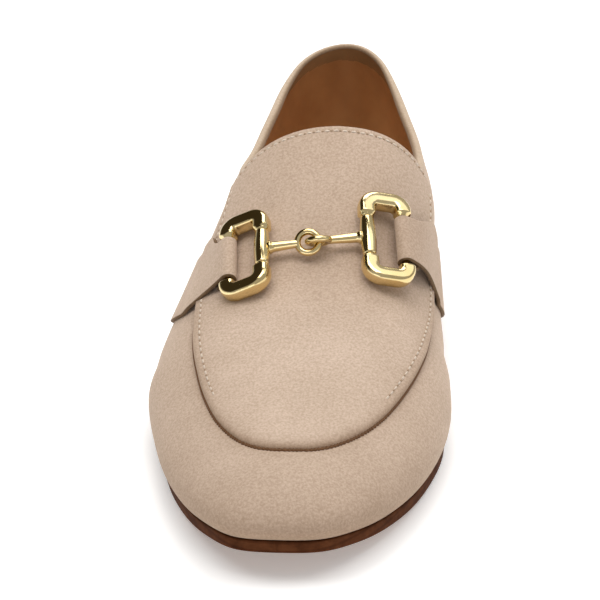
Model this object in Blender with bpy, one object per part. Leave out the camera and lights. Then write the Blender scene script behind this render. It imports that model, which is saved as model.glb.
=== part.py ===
"""A bit loafer for the right foot: suede upper on a last, raised apron with tongue, saddle strap and metal bit.

The toe points to -Y, the floor is z = 0, and the origin is on the floor under the middle of the heel.
+X is the medial side, the side of the big toe. All lengths are in metres.
"""

import math
from collections import Counter, namedtuple

import bmesh
import bpy
import numpy as np

# Driving dimensions of the last
SHOE_LENGTH = 0.262
BALL_HALF_WIDTH = 0.0435
INSTEP_HEIGHT = 0.080
HEEL_CENTRE = 0.034

# Walls and layers
UPPER_WALL = 0.0020
APRON_THICKNESS = 0.0016
STRAP_THICKNESS = 0.0014
INSOLE_THICKNESS = 0.0030
OUTSOLE_THICKNESS = 0.0042
HEEL_BLOCK_HEIGHT = 0.0084
TOP_LIFT_THICKNESS = 0.0050
TOE_SPRING = 0.0090
SOLE_MARGIN = 0.0002
HEEL_TAPER = 0.0015
BREAST_HOLLOW = 0.0040
SEAT_GAP = 0.0003
SKIN_GAP = 0.0005
INSOLE_CLEARANCE = 0.0008

# Bit: two rings, each turning in the sleeve of its own link
RING_BAR_RADIUS = 0.0027
RING_STRAP_CORE = 0.0012
RING_SLEEVE_CORE = 0.0013
RING_HALF_LENGTH = 0.0154
RING_REACH = 0.0122
RING_CORNER = 0.0044
RING_LIFT = 0.0069
SLEEVE_HALF = 0.0076
SLEEVE_END_RADIUS = 0.0021
SLEEVE_BELLY_RADIUS = 0.0026
SLEEVE_BORE_RADIUS = 0.0017
ROD_RADIUS_AT_SLEEVE = 0.0018
ROD_RADIUS_AT_EYE = 0.0013
EYE_RADIUS = 0.0031
EYE_WIRE_RADIUS = 0.0011
EYE_SPACING = 0.0033
EYE_LIFT = 0.0064
EYE_SHIFT = 0.0025
EYE_LEAN = 30.0

# Stations along the shoe, as shares of its length from the heel's back
HEEL_BREAST = 0.25
BALL_BACK = 0.60
BALL_FRONT = 0.73

# How finely the solids are faceted
UPPER_RIBS = 46
UPPER_ROWS = 11
APRON_RIBS = 26
APRON_HALF_COLUMNS = 6
SOLE_COLUMNS = 6
STRAP_COLUMNS = 5
TUBE_SIDES = 12
EYE_STEPS = 18

LATERAL, MEDIAL = -1, 1

# One row for each rib of the last, from the heel's back to the toe's tip. Stations are shares of SHOE_LENGTH,
# half widths and offsets shares of BALL_HALF_WIDTH, and heights over the sole shares of INSTEP_HEIGHT.
Rib = namedtuple("Rib", "lateral_at lateral_out medial_at medial_out ridge_at ridge_up ridge_off swell fullness")
RIBS = (
    Rib(0.012, 0.000, 0.012, 0.000, 0.130, 0.960, 0.00, 0.100, 2.55),
    Rib(0.030, 0.325, 0.030, 0.275, 0.140, 0.960, 0.00, 0.065, 1.84),
    Rib(0.090, 0.543, 0.090, 0.497, 0.170, 0.950, 0.01, 0.048, 1.57),
    Rib(0.180, 0.615, 0.180, 0.637, 0.220, 0.930, 0.03, 0.040, 1.72),
    Rib(0.290, 0.615, 0.290, 0.702, 0.290, 0.890, 0.08, 0.068, 2.25),
    Rib(0.400, 0.740, 0.400, 0.761, 0.385, 0.755, 0.13, 0.100, 2.52),
    Rib(0.500, 0.887, 0.500, 0.815, 0.480, 0.640, 0.11, 0.127, 2.28),
    Rib(0.590, 1.005, 0.600, 0.911, 0.575, 0.540, 0.07, 0.115, 2.34),
    Rib(0.670, 1.070, 0.690, 1.015, 0.660, 0.460, 0.05, 0.075, 2.40),
    Rib(0.760, 0.955, 0.785, 0.940, 0.740, 0.390, 0.04, 0.088, 2.27),
    Rib(0.850, 0.791, 0.870, 0.784, 0.805, 0.335, 0.02, 0.085, 2.25),
    Rib(0.937, 0.531, 0.947, 0.526, 0.850, 0.298, 0.01, 0.080, 2.30),
    Rib(0.984, 0.280, 0.984, 0.280, 0.875, 0.281, 0.00, 0.075, 2.30),
    Rib(0.990, 0.000, 0.990, 0.000, 0.880, 0.278, 0.00, 0.075, 2.30),
)

# Side view of the topline: station, and height over the floor as a share of INSTEP_HEIGHT
TopPoint = namedtuple("TopPoint", "at up")
TOPLINE = (
    TopPoint(0.000, 0.750),
    TopPoint(0.060, 0.730),
    TopPoint(0.140, 0.675),
    TopPoint(0.220, 0.635),
    TopPoint(0.300, 0.640),
    TopPoint(0.360, 0.680),
    TopPoint(0.400, 0.730),
    TopPoint(0.430, 0.790),
    TopPoint(0.450, 0.880),
    TopPoint(0.470, 1.050),
)

# Edge of the apron on each side, as a share of the rib from the sole (0) to the ridge (1)
ApronPoint = namedtuple("ApronPoint", "place lateral medial")
APRON_EDGE = (
    ApronPoint(0.340, 0.405, 0.285),
    ApronPoint(0.500, 0.440, 0.322),
    ApronPoint(0.580, 0.475, 0.356),
    ApronPoint(0.620, 0.508, 0.404),
    ApronPoint(0.660, 0.528, 0.450),
    ApronPoint(0.700, 0.537, 0.484),
    ApronPoint(0.740, 0.548, 0.516),
    ApronPoint(0.780, 0.576, 0.553),
    ApronPoint(0.820, 0.614, 0.601),
    ApronPoint(0.860, 0.667, 0.665),
    ApronPoint(0.890, 0.719, 0.722),
    ApronPoint(0.920, 0.790, 0.795),
    ApronPoint(0.940, 0.848, 0.851),
    ApronPoint(0.960, 0.888, 0.889),
    ApronPoint(0.980, 0.907, 0.907),
    ApronPoint(1.000, 0.913, 0.913),
)
TONGUE_TOP = 0.399
TONGUE_CORNER = 0.012
TONGUE_FALL = {LATERAL: 0.004, MEDIAL: 0.046}

# Where the two bars of each ring lie: places along the outline and shares of the rib
BitPlace = namedtuple("BitPlace", "inner_place inner_share outer_place outer_share")
BIT = {
    LATERAL: BitPlace(0.560, 0.806, 0.558, 0.646),
    MEDIAL: BitPlace(0.534, 0.787, 0.521, 0.618),
}
EYE_PLACE = 0.558

# Places along the outline of the saddle strap's two edges, at the sole and where it comes up to the apron's edge
StrapPlace = namedtuple("StrapPlace", "sole_back sole_front top_back top_front")
STRAP = {
    LATERAL: StrapPlace(0.415, 0.500, 0.472, 0.583),
    MEDIAL: StrapPlace(0.365, 0.440, 0.428, 0.516),
}
STRAP_RING_HALF_WIDTH = 0.0086
STRAP_FOOT_SHARE = 0.03
STRAP_RETURN = 0.0050
STRAP_TUCK_LIFT = 0.0028
STRAP_TUCK_SHARE = 0.02
STRAP_SWEEP = 1.6


def smoothstep(value):
    """Soft step from 0 to 1, flat at both ends."""
    clipped = np.clip(value, 0.0, 1.0)
    return clipped * clipped * (3.0 - 2.0 * clipped)


def hermite(knots, values, at):
    """Smooth curve through the values at the knots, read off at the given places."""
    knots = np.asarray(knots, float)
    values = np.asarray(values, float)
    at = np.asarray(at, float)
    spans = np.diff(knots)
    slopes = np.diff(values) / spans
    middle = (spans[1:] * slopes[:-1] + spans[:-1] * slopes[1:]) / (spans[1:] + spans[:-1])
    tangents = np.concatenate([slopes[:1], middle, slopes[-1:]])
    cell = np.clip(np.searchsorted(knots, at, side="right") - 1, 0, len(spans) - 1)
    width = spans[cell]
    part = np.clip((at - knots[cell]) / width, 0.0, 1.0)
    square = part * part
    cube = square * part
    start = values[cell] * (2 * cube - 3 * square + 1) + tangents[cell] * width * (cube - 2 * square + part)
    end = values[cell + 1] * (3 * square - 2 * cube) + tangents[cell + 1] * width * (cube - square)
    return start + end


def sole_under(station):
    """Height of the outsole's underside over the floor: heel, arch, flat ball and toe spring."""
    arch = 1.0 - smoothstep((station - HEEL_BREAST) / (BALL_BACK - HEEL_BREAST))
    toe = np.clip((station - BALL_FRONT) / (1.0 - BALL_FRONT), 0.0, 1.0) ** 1.9
    heel_height = TOP_LIFT_THICKNESS + HEEL_BLOCK_HEIGHT + 2.0 * SEAT_GAP
    return heel_height * arch + TOE_SPRING * toe


def feather_height(station):
    """Height over the floor of the line where the upper stands on the outsole."""
    return sole_under(station) + OUTSOLE_THICKNESS + SEAT_GAP


def rib_knots(side):
    """The rib table of one side as rows of numbers, with a mirrored row beyond each end."""
    rows = []
    for rib in RIBS:
        at = rib.lateral_at if side == LATERAL else rib.medial_at
        out = rib.lateral_out if side == LATERAL else rib.medial_out
        rows.append([at, out, rib.ridge_at, rib.ridge_up, rib.ridge_off, rib.swell, rib.fullness])
    rows = np.array(rows)
    before = rows[1].copy()
    before[1] *= -1.0
    after = rows[-2].copy()
    after[1] *= -1.0
    rows = np.vstack([before, rows, after])
    feet = np.stack([rows[:, 1] * BALL_HALF_WIDTH, rows[:, 0] * SHOE_LENGTH], axis=-1)
    run = np.concatenate([[0.0], np.cumsum(np.linalg.norm(np.diff(feet, axis=0), axis=1))])
    return (run - run[1]) / (run[-2] - run[1]), rows


KNOTS = (rib_knots(LATERAL)[0] + rib_knots(MEDIAL)[0]) / 2.0
ROWS = {side: rib_knots(side)[1] for side in (LATERAL, MEDIAL)}


def rib_values(side, place):
    """One named value after another of the last's rib at a place along the outline."""
    place = np.asarray(place, float)
    values = [hermite(KNOTS, ROWS[side][:, column], place) for column in range(7)]
    at = values[0]
    out = values[1]
    step = 0.002
    along = (hermite(KNOTS, ROWS[side][:, 0], place + step) - hermite(KNOTS, ROWS[side][:, 0], place - step))
    across = (hermite(KNOTS, ROWS[side][:, 1], place + step) - hermite(KNOTS, ROWS[side][:, 1], place - step))
    along = along * SHOE_LENGTH
    across = across * BALL_HALF_WIDTH * side
    length = np.hypot(along, across)
    outward_x = side * along / length
    outward_along = -side * across / length
    return at, out, values[2:], outward_x, outward_along


def last_point(side, place, share):
    """Point of the last: side, place along the outline (heel 0, toe 1), share of the rib (sole 0, ridge 1)."""
    place, share = np.broadcast_arrays(np.asarray(place, float), np.asarray(share, float))
    at, out, shape, outward_x, outward_along = rib_values(side, place)
    ridge_at, ridge_up, ridge_off, swell, fullness = shape
    angle = np.clip(share, 0.0, 1.0) * math.pi / 2.0
    level = np.clip(np.cos(angle), 0.0, 1.0) ** (2.0 / fullness)
    rise = np.clip(np.sin(angle), 0.0, 1.0) ** (2.0 / fullness)
    foot_x = side * out * BALL_HALF_WIDTH
    foot_along = at * SHOE_LENGTH
    ridge_x = ridge_off * BALL_HALF_WIDTH
    ridge_along = ridge_at * SHOE_LENGTH
    bulge = swell * BALL_HALF_WIDTH * 6.75 * rise * (1.0 - rise) ** 2
    x = ridge_x + (foot_x - ridge_x) * level + bulge * outward_x
    along = ridge_along + (foot_along - ridge_along) * level + bulge * outward_along
    foot_height = feather_height(at)
    ridge_height = feather_height(ridge_at) + ridge_up * INSTEP_HEIGHT
    height = foot_height + (ridge_height - foot_height) * rise
    return np.stack([x, HEEL_CENTRE - along, height], axis=-1)


def last_normal(side, place, share):
    """Outward direction of the last's surface."""
    place, share = np.broadcast_arrays(np.asarray(place, float), np.asarray(share, float))
    share = np.clip(share, 0.02, 0.985)
    along = last_point(side, place + 0.003, share) - last_point(side, place - 0.003, share)
    up = last_point(side, place, share + 0.012) - last_point(side, place, share - 0.012)
    normal = np.cross(along, up) * -side
    return normal / np.linalg.norm(normal, axis=-1, keepdims=True)


def lifted(side, place, share, lift):
    """Point held a lift off the last's surface."""
    lift = np.asarray(lift, float)
    return last_point(side, place, share) + last_normal(side, place, share) * lift[..., None]


def station_of(points):
    """Share of the shoe's length at which points lie."""
    return (HEEL_CENTRE - points[..., 1]) / SHOE_LENGTH


def top_share(side, place):
    """Share of a rib at which the topline cuts it, 1 where the rib runs right over the instep."""
    shares = np.linspace(0.0, 1.0, 401)
    points = last_point(side, place, shares)
    limit = hermite([row.at for row in TOPLINE], [row.up for row in TOPLINE], station_of(points))
    over = np.nonzero(points[:, 2] > limit * INSTEP_HEIGHT)[0]
    beyond_throat = station_of(points[-1]) > TOPLINE[-1].at
    if beyond_throat or len(over) == 0:
        return 1.0
    first = over[0]
    gap = points[:, 2] - limit * INSTEP_HEIGHT
    part = gap[first - 1] / (gap[first - 1] - gap[first])
    return shares[first - 1] + (shares[first] - shares[first - 1]) * part


def apron_share(side, place):
    """Share of a rib at which the apron's edge lies."""
    shares = [row.lateral if side == LATERAL else row.medial for row in APRON_EDGE]
    return hermite([row.place for row in APRON_EDGE], shares, np.clip(place, APRON_EDGE[0].place, 1.0))


def add_object(name, vertices, faces, colour, roughness, metallic=0.0):
    """Make one closed, welded, outward facing mesh object with its own material."""
    mesh = bpy.data.meshes.new(name)
    mesh.from_pydata([tuple(vertex) for vertex in vertices], [], faces)
    solid = bmesh.new()
    solid.from_mesh(mesh)
    bmesh.ops.remove_doubles(solid, verts=solid.verts, dist=0.00001)
    bmesh.ops.dissolve_degenerate(solid, edges=solid.edges, dist=0.00001)
    bmesh.ops.triangulate(solid, faces=solid.faces)
    bmesh.ops.recalc_face_normals(solid, faces=solid.faces)
    if solid.calc_volume(signed=True) < 0.0:
        bmesh.ops.reverse_faces(solid, faces=solid.faces)
    solid.to_mesh(mesh)
    solid.free()
    material = bpy.data.materials.new(name)
    material.use_nodes = True
    shader = material.node_tree.nodes["Principled BSDF"]
    shader.inputs["Base Color"].default_value = (*colour, 1.0)
    shader.inputs["Roughness"].default_value = roughness
    shader.inputs["Metallic"].default_value = metallic
    material.diffuse_color = (*colour, 1.0)
    mesh.materials.append(material)
    made = bpy.data.objects.new(name, mesh)
    bpy.context.scene.collection.objects.link(made)
    return made


def grid_faces(rows, columns, first=0):
    """Quads between the points of a grid stored row by row."""
    faces = []
    for row in range(rows - 1):
        for column in range(columns - 1):
            corner = first + row * columns + column
            faces.append((corner, corner + 1, corner + columns + 1, corner + columns))
    return faces


def slab(front, back, folded=False):
    """Close two matching grids of points into one solid; a folded grid's last row is sewn to itself."""
    rows, columns = front.shape[:2]
    count = rows * columns
    faces = grid_faces(rows, columns)
    faces += [tuple(reversed(face)) for face in grid_faces(rows, columns, count)]
    rim = [row * columns for row in range(rows)]
    rim += [(rows - 1) * columns + column for column in range(1, columns)]
    rim += [row * columns + columns - 1 for row in range(rows - 2, -1, -1)]
    rim += [column for column in range(columns - 2, 0, -1)]
    last_row = range((rows - 1) * columns, count)
    for here, after in zip(rim, rim[1:] + rim[:1]):
        if not (folded and here in last_row and after in last_row):
            faces.append((here, after, count + after, count + here))
    vertices = np.vstack([front.reshape(-1, 3), back.reshape(-1, 3)])
    return vertices, faces


def upper_skin():
    """Outer skin of the upper as welded points, quads, and the numbers of its lowest and highest points."""
    places = np.linspace(0.0, 1.0, UPPER_RIBS + 1)
    throat = throat_place()
    places = np.sort(np.append(places, [throat, throat - 0.006, throat - 0.015]))
    points = []
    faces = []
    foot = set()
    grids = {}
    for side in (LATERAL, MEDIAL):
        grid = []
        for number, place in enumerate(places):
            top = 1.0 if place >= throat else top_share(side, place)
            shares = top * np.linspace(0.0, 1.0, UPPER_ROWS) ** 0.92
            shared_rib = side == MEDIAL and number in (0, len(places) - 1)
            line = []
            for row, point in enumerate(last_point(side, place, shares)):
                shared_ridge = side == MEDIAL and place >= throat and row == UPPER_ROWS - 1
                if shared_rib or shared_ridge:
                    line.append(grids[LATERAL][number][row])
                    continue
                line.append(len(points))
                points.append(point)
            foot.add(line[0])
            grid.append(line)
        grids[side] = grid
        for rib in range(len(places) - 1):
            for row in range(UPPER_ROWS - 1):
                quad = (grid[rib][row], grid[rib][row + 1], grid[rib + 1][row + 1], grid[rib + 1][row])
                faces.append(quad if side == LATERAL else tuple(reversed(quad)))
    return np.array(points), faces, foot


def throat_place():
    """First place along the outline whose ribs run unbroken over the instep."""
    place = 0.35
    while min(top_share(LATERAL, place), top_share(MEDIAL, place)) < 1.0:
        place += 0.002
    return place


def point_normals(points, faces, flat):
    """Averaged outward directions of welded points, kept level at the points numbered in flat."""
    normals = np.zeros_like(points)
    for face in faces:
        corners = points[list(face)]
        turned = np.cross(corners[2] - corners[0], corners[3] - corners[1])
        for number in set(face):
            normals[number] += turned
    for number in flat:
        normals[number][2] = 0.0
    normals /= np.linalg.norm(normals, axis=1, keepdims=True)
    return normals


def build_upper():
    """Hollow upper: the last's skin with an inner skin one wall inside, open at the collar and underneath."""
    points, faces, foot = upper_skin()
    normals = point_normals(points, faces, foot)
    if np.dot(normals[min(foot)], [0.0, 1.0, 0.0]) < 0.0:
        normals = -normals
    inner = points - normals * UPPER_WALL
    count = len(points)
    edges = Counter()
    for face in faces:
        for here, after in zip(face, face[1:] + face[:1]):
            if here != after:
                edges[frozenset((here, after))] += 1
    shell = list(faces)
    shell += [tuple(count + number for number in reversed(face)) for face in faces]
    for edge, uses in edges.items():
        if uses == 1:
            here, after = sorted(edge)
            shell.append((here, after, count + after, count + here))
    tidy = []
    for face in shell:
        unique = tuple(dict.fromkeys(face))
        if len(unique) > 2:
            tidy.append(unique)
    return add_object("upper", np.vstack([points, inner]), tidy, (0.60, 0.47, 0.36), 0.9)


def tongue_place(side, share):
    """Place along the outline of the tongue's top edge, for a share of the way from the ridge to the apron's edge."""
    corner = TONGUE_CORNER * share ** 8
    return TONGUE_TOP - TONGUE_FALL[side] * share ** 1.7 + corner


def apron_grid(lift):
    """Points of the apron a lift off the last, row by row from the tongue's top to the toe."""
    across = np.linspace(0.0, 1.0, APRON_HALF_COLUMNS + 1)
    rows = []
    for along in np.linspace(0.0, 1.0, APRON_RIBS + 1) ** 1.1:
        halves = []
        for side in (LATERAL, MEDIAL):
            start = tongue_place(side, across)
            place = start + (1.0 - start) * along
            share = 1.0 - across * (1.0 - apron_share(side, place))
            halves.append(lifted(side, place, share, np.full(len(across), lift)))
        middle = (halves[0][0] + halves[1][0]) / 2.0
        rows.append(np.vstack([halves[0][:0:-1], middle[None, :], halves[1][1:]]))
    grid = np.array(rows)
    half = APRON_HALF_COLUMNS
    last = (grid[-1, :half] + grid[-1, :half:-1]) / 2.0
    grid[-1, :half] = last
    grid[-1, half + 1:] = last[::-1]
    return grid


def build_apron():
    """Apron with its tongue: one sheet over the vamp, from the rounded tongue top to the U at the toe."""
    under = apron_grid(SKIN_GAP)
    over = apron_grid(SKIN_GAP + APRON_THICKNESS)
    vertices, faces = slab(over, under, folded=True)
    return add_object("apron", vertices, faces, (0.62, 0.49, 0.37), 0.9)


def outline_points(side, place, margin):
    """Points of the sole's outline in plan, a margin outside the feather line."""
    at, out, shape, outward_x, outward_along = rib_values(side, place)
    x = side * out * BALL_HALF_WIDTH + margin * outward_x
    along = at * SHOE_LENGTH + margin * outward_along
    return x, along


def sole_layer(name, places, bottom, top, margin, bottom_margin, colour, roughness, hollow=0.0):
    """Layer of the bottom: its outline from heel to a last place, between two height functions of the station."""
    share = np.linspace(0.0, 1.0, SOLE_COLUMNS + 1)
    grids = []
    for level, spread in ((top, margin), (bottom, bottom_margin)):
        lateral_x, lateral_along = outline_points(LATERAL, places, spread)
        medial_x, medial_along = outline_points(MEDIAL, places, spread)
        x = lateral_x[:, None] + (medial_x - lateral_x)[:, None] * share
        along = lateral_along[:, None] + (medial_along - lateral_along)[:, None] * share
        along[-1] -= hollow * 4.0 * share * (1.0 - share)
        station = along / SHOE_LENGTH
        grids.append(np.stack([x, HEEL_CENTRE - along, level(station)], axis=-1))
    vertices, faces = slab(grids[0], grids[1])
    return add_object(name, vertices, faces, colour, roughness)


def level_at(height):
    """Height function of a level layer."""

    def height_there(station):
        return np.full_like(station, height)

    return height_there


def outsole_top(station):
    """Height of the outsole's upper face over the floor."""
    return sole_under(station) + OUTSOLE_THICKNESS


def insole_top(station):
    """Height of the insole's upper face over the floor."""
    return feather_height(station) + INSOLE_THICKNESS


def build_bottom():
    """Outsole, heel block, top lift and insole, each a layer over the one below."""
    whole = np.linspace(0.0, 1.0, UPPER_RIBS + 1)
    sole_layer("outsole", whole, sole_under, outsole_top, SOLE_MARGIN, SOLE_MARGIN, (0.065, 0.023, 0.009), 0.45)
    inset = -(UPPER_WALL + INSOLE_CLEARANCE)
    sole_layer("insole", whole, feather_height, insole_top, inset, inset, (0.13, 0.04, 0.012), 0.6)
    lateral_heel = np.interp(HEEL_BREAST, ROWS[LATERAL][1:-1, 0], KNOTS[1:-1])
    heel = lateral_heel * np.linspace(0.0, 1.0, 11) ** 1.15
    block_bottom = TOP_LIFT_THICKNESS + SEAT_GAP
    block_top = block_bottom + HEEL_BLOCK_HEIGHT
    taper = HEEL_TAPER * TOP_LIFT_THICKNESS / block_top
    brown = (0.055, 0.020, 0.009)
    sole_layer("heel_block", heel, level_at(block_bottom), level_at(block_top), SOLE_MARGIN,
               SOLE_MARGIN - HEEL_TAPER + taper, brown, 0.45, BREAST_HOLLOW)
    sole_layer("heel_lift", heel, level_at(0.0), level_at(TOP_LIFT_THICKNESS), SOLE_MARGIN - HEEL_TAPER + taper,
               SOLE_MARGIN - HEEL_TAPER, (0.02, 0.012, 0.008), 0.7, BREAST_HOLLOW)


def unit(vector):
    """Vector of length one."""
    return vector / np.linalg.norm(vector)


RingFrame = namedtuple("RingFrame", "inner outer along across up")


def ring_frame(side):
    """Middles of a ring's inner and outer bars, and the ring's directions: along the bars, outward and up."""
    place = BIT[side]
    inner = lifted(side, place.inner_place, place.inner_share, RING_LIFT)
    outer = lifted(side, place.outer_place, place.outer_share, RING_LIFT)
    up = last_normal(side, place.inner_place, place.inner_share)
    up = unit(up + last_normal(side, place.outer_place, place.outer_share))
    across = unit(outer - inner)
    outer = inner + across * RING_REACH
    up = unit(up - across * np.dot(up, across))
    along = np.cross(up, across) * side
    return RingFrame(inner, outer, along, across, up)


def square_growth(turn):
    """Growth of a round section's radius toward its four corners that makes it a soft square."""
    return (math.cos(turn) ** 4 + math.sin(turn) ** 4) ** -0.25 - 1.0


def tube(line, radii, side_dir, closed, squareness=None):
    """Bar along a line of points, closed or capped: round, or a soft square where the squareness is 1."""
    line = np.asarray(line)
    squareness = squareness or [0.0] * len(line)
    count = len(line)
    turns = np.linspace(0.0, 2.0 * math.pi, TUBE_SIDES, endpoint=False)
    vertices = []
    for number in range(count):
        before = line[number - 1] if closed or number > 0 else line[number]
        after = line[(number + 1) % count] if closed or number < count - 1 else line[number]
        ahead = unit(after - before)
        first = unit(side_dir - ahead * np.dot(side_dir, ahead))
        second = np.cross(ahead, first)
        for turn in turns:
            radius = radii[number] * (1.0 + squareness[number] * square_growth(turn))
            vertices.append(line[number] + radius * (first * math.cos(turn) + second * math.sin(turn)))
    faces = []
    for number in range(count if closed else count - 1):
        start = number * TUBE_SIDES
        end = ((number + 1) % count) * TUBE_SIDES
        for step in range(TUBE_SIDES):
            after = (step + 1) % TUBE_SIDES
            faces.append((start + step, start + after, end + after, end + step))
    if not closed:
        faces.append(tuple(range(TUBE_SIDES - 1, -1, -1)))
        faces.append(tuple(range((count - 1) * TUBE_SIDES, count * TUBE_SIDES)))
    return np.array(vertices), faces


def ring_line():
    """Loop of a ring in its own plane as (along, outward, radius): inner bar, arm, outer bar, arm."""
    straight = RING_HALF_LENGTH - RING_CORNER
    core_end = SLEEVE_HALF + SEAT_GAP
    loop = [(0.0, 0.0, RING_SLEEVE_CORE), (core_end, 0.0, RING_SLEEVE_CORE)]
    loop += [(core_end + 0.0003, 0.0, RING_BAR_RADIUS * 0.86), (core_end + 0.0015, 0.0, RING_BAR_RADIUS)]
    for turn in (15.0, 45.0, 75.0):
        angle = math.radians(turn)
        loop.append((straight + RING_CORNER * math.sin(angle), RING_CORNER * (1.0 - math.cos(angle)),
                     RING_BAR_RADIUS))
    loop.append((RING_HALF_LENGTH, RING_REACH / 2.0, RING_BAR_RADIUS))
    for turn in (15.0, 45.0, 75.0):
        angle = math.radians(turn)
        loop.append((straight + RING_CORNER * math.cos(angle),
                     RING_REACH - RING_CORNER * (1.0 - math.sin(angle)), RING_BAR_RADIUS))
    core_end = STRAP_RING_HALF_WIDTH + SEAT_GAP
    loop += [(core_end + 0.0008, RING_REACH, RING_BAR_RADIUS * 0.8), (core_end, RING_REACH, RING_STRAP_CORE)]
    loop.append((0.0, RING_REACH, RING_STRAP_CORE))
    mirrored = [(-along, out, radius) for along, out, radius in loop[-2:0:-1]]
    return loop + mirrored


def build_ring(side, name):
    """Ring of the bit: a rounded rectangle with thin cores inside the sleeve and inside the strap's fold."""
    frame = ring_frame(side)
    loop = ring_line()
    line = [frame.inner + frame.along * along + frame.across * out for along, out, radius in loop]
    radii = [radius for along, out, radius in loop]
    squareness = [1.0 if radius == RING_BAR_RADIUS else 0.0 for radius in radii]
    vertices, faces = tube(line, radii, frame.up, True, squareness)
    return add_object(name, vertices, faces, (0.80, 0.60, 0.25), 0.15, 1.0)


def eye_centres():
    """Centres of the lateral and the medial link's eyes over the ridge."""
    ridge = last_point(LATERAL, EYE_PLACE, 1.0)
    up = unit(last_normal(LATERAL, EYE_PLACE, 0.98) + last_normal(MEDIAL, EYE_PLACE, 0.98))
    toward = unit(ring_frame(MEDIAL).inner - ring_frame(LATERAL).inner)
    toward = unit(toward - up * np.dot(toward, up))
    middle = ridge + up * EYE_LIFT - toward * EYE_SHIFT
    return middle - toward * EYE_SPACING / 2.0, middle + toward * EYE_SPACING / 2.0, up


def join_solids(target, others):
    """Unite closed mesh objects into the first one."""
    for other in others:
        modifier = target.modifiers.new("unite", "BOOLEAN")
        modifier.operation = "UNION"
        modifier.solver = "EXACT"
        modifier.object = other
        depsgraph = bpy.context.evaluated_depsgraph_get()
        united = bpy.data.meshes.new_from_object(target.evaluated_get(depsgraph))
        target.modifiers.clear()
        target.data = united
        bpy.data.objects.remove(other)
    united.name = target.name


def build_link(side, name):
    """Link of the bit: a sleeve round the ring's inner bar, a tapered rod and an eye, in one piece."""
    gold = (0.80, 0.60, 0.25)
    frame = ring_frame(side)
    stations = np.linspace(-1.0, 1.0, 7)
    belly = SLEEVE_END_RADIUS + (SLEEVE_BELLY_RADIUS - SLEEVE_END_RADIUS) * (1.0 - stations ** 2)
    line = [frame.inner + frame.along * station * SLEEVE_HALF for station in stations]
    skin, faces = tube(line, belly, frame.up, False)
    bore, bore_faces = tube(line, np.full(len(line), SLEEVE_BORE_RADIUS), frame.up, False)
    faces = faces[:-2]
    count = len(skin)
    faces += [tuple(count + number for number in reversed(face)) for face in bore_faces[:-2]]
    for start in (0, (len(line) - 1) * TUBE_SIDES):
        for step in range(TUBE_SIDES):
            after = (step + 1) % TUBE_SIDES
            faces.append((start + step, start + after, count + start + after, count + start + step))
    sleeve = add_object(name, np.vstack([skin, bore]), faces, gold, 0.15, 1.0)
    lateral_eye, medial_eye, up = eye_centres()
    centre = lateral_eye if side == LATERAL else medial_eye
    toward = unit(centre - frame.inner)
    rod_start = frame.inner + toward * (SLEEVE_BORE_RADIUS + 0.0004)
    rod_end = centre - toward * EYE_RADIUS
    vertices, faces = tube([rod_start, rod_end], [ROD_RADIUS_AT_SLEEVE, ROD_RADIUS_AT_EYE], frame.up, False)
    rod = add_object(name + "_rod", vertices, faces, gold, 0.15, 1.0)
    fore = unit(np.cross(up, medial_eye - lateral_eye))
    lean = math.radians(EYE_LEAN if side == LATERAL else EYE_LEAN + 90.0)
    other = fore * math.cos(lean) + up * math.sin(lean)
    turns = np.linspace(0.0, 2.0 * math.pi, EYE_STEPS, endpoint=False)
    loop = [centre + EYE_RADIUS * (toward * math.cos(turn) + other * math.sin(turn)) for turn in turns]
    flat = np.cross(toward, other)
    vertices, faces = tube(loop, np.full(EYE_STEPS, EYE_WIRE_RADIUS), flat, True)
    eye = add_object(name + "_eye", vertices, faces, gold, 0.15, 1.0)
    join_solids(sleeve, [rod, eye])
    return sleeve


def strap_line(side, across):
    """Inner face of the strap along one line from the sole, up the side and round the ring's outer bar."""
    frame = ring_frame(side)
    edges = STRAP[side]
    foot_place = edges.sole_back + (edges.sole_front - edges.sole_back) * across
    top_place = edges.top_back + (edges.top_front - edges.top_back) * across
    tuck = float(apron_share(side, top_place)) - STRAP_TUCK_SHARE
    shares = np.linspace(STRAP_FOOT_SHARE, tuck, 6)
    rise = (shares - shares[0]) / (shares[-1] - shares[0])
    places = top_place + (foot_place - top_place) * (1.0 - rise) ** STRAP_SWEEP
    lifts = SKIN_GAP + (STRAP_TUCK_LIFT - SKIN_GAP) * smoothstep((rise - 0.65) / 0.35)
    side_points = lifted(side, places, shares, lifts)
    radius = RING_STRAP_CORE + SEAT_GAP
    bar = frame.outer + frame.along * (1.0 - 2.0 * across) * STRAP_RING_HALF_WIDTH
    wrap = []
    for turn in np.radians(np.linspace(-25.0, 180.0, 9)):
        wrap.append(bar + radius * (frame.up * math.cos(turn) - frame.across * math.sin(turn)))
    start = side_points[-1]
    end = wrap[0]
    leave = unit(side_points[-1] - side_points[-2])
    arrive = unit(-frame.across * math.cos(math.radians(25.0)) + frame.up * math.sin(math.radians(25.0)))
    span = np.linalg.norm(end - start)
    bridge = []
    for part in (0.25, 0.5, 0.75):
        square = part * part
        cube = square * part
        bridge.append(start * (2 * cube - 3 * square + 1) + leave * span * (cube - 2 * square + part)
                      + end * (3 * square - 2 * cube) + arrive * span * (cube - square))
    tail = wrap[-1] + frame.across * STRAP_RETURN
    return np.vstack([side_points, bridge, wrap, [(wrap[-1] + tail) / 2.0, tail]])


def build_strap(side, name):
    """Half of the saddle strap: from the sole up the side, folded round the ring's outer bar and back under."""
    inner = np.array([strap_line(side, across) for across in np.linspace(0.0, 1.0, STRAP_COLUMNS + 1)])
    along = np.gradient(inner, axis=1)
    across = np.gradient(inner, axis=0)
    normal = np.cross(across, along) * -side
    normal /= np.linalg.norm(normal, axis=-1, keepdims=True)
    outer = inner + normal * STRAP_THICKNESS
    vertices, faces = slab(outer, inner)
    return add_object(name, vertices, faces, (0.60, 0.46, 0.35), 0.9)


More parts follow.
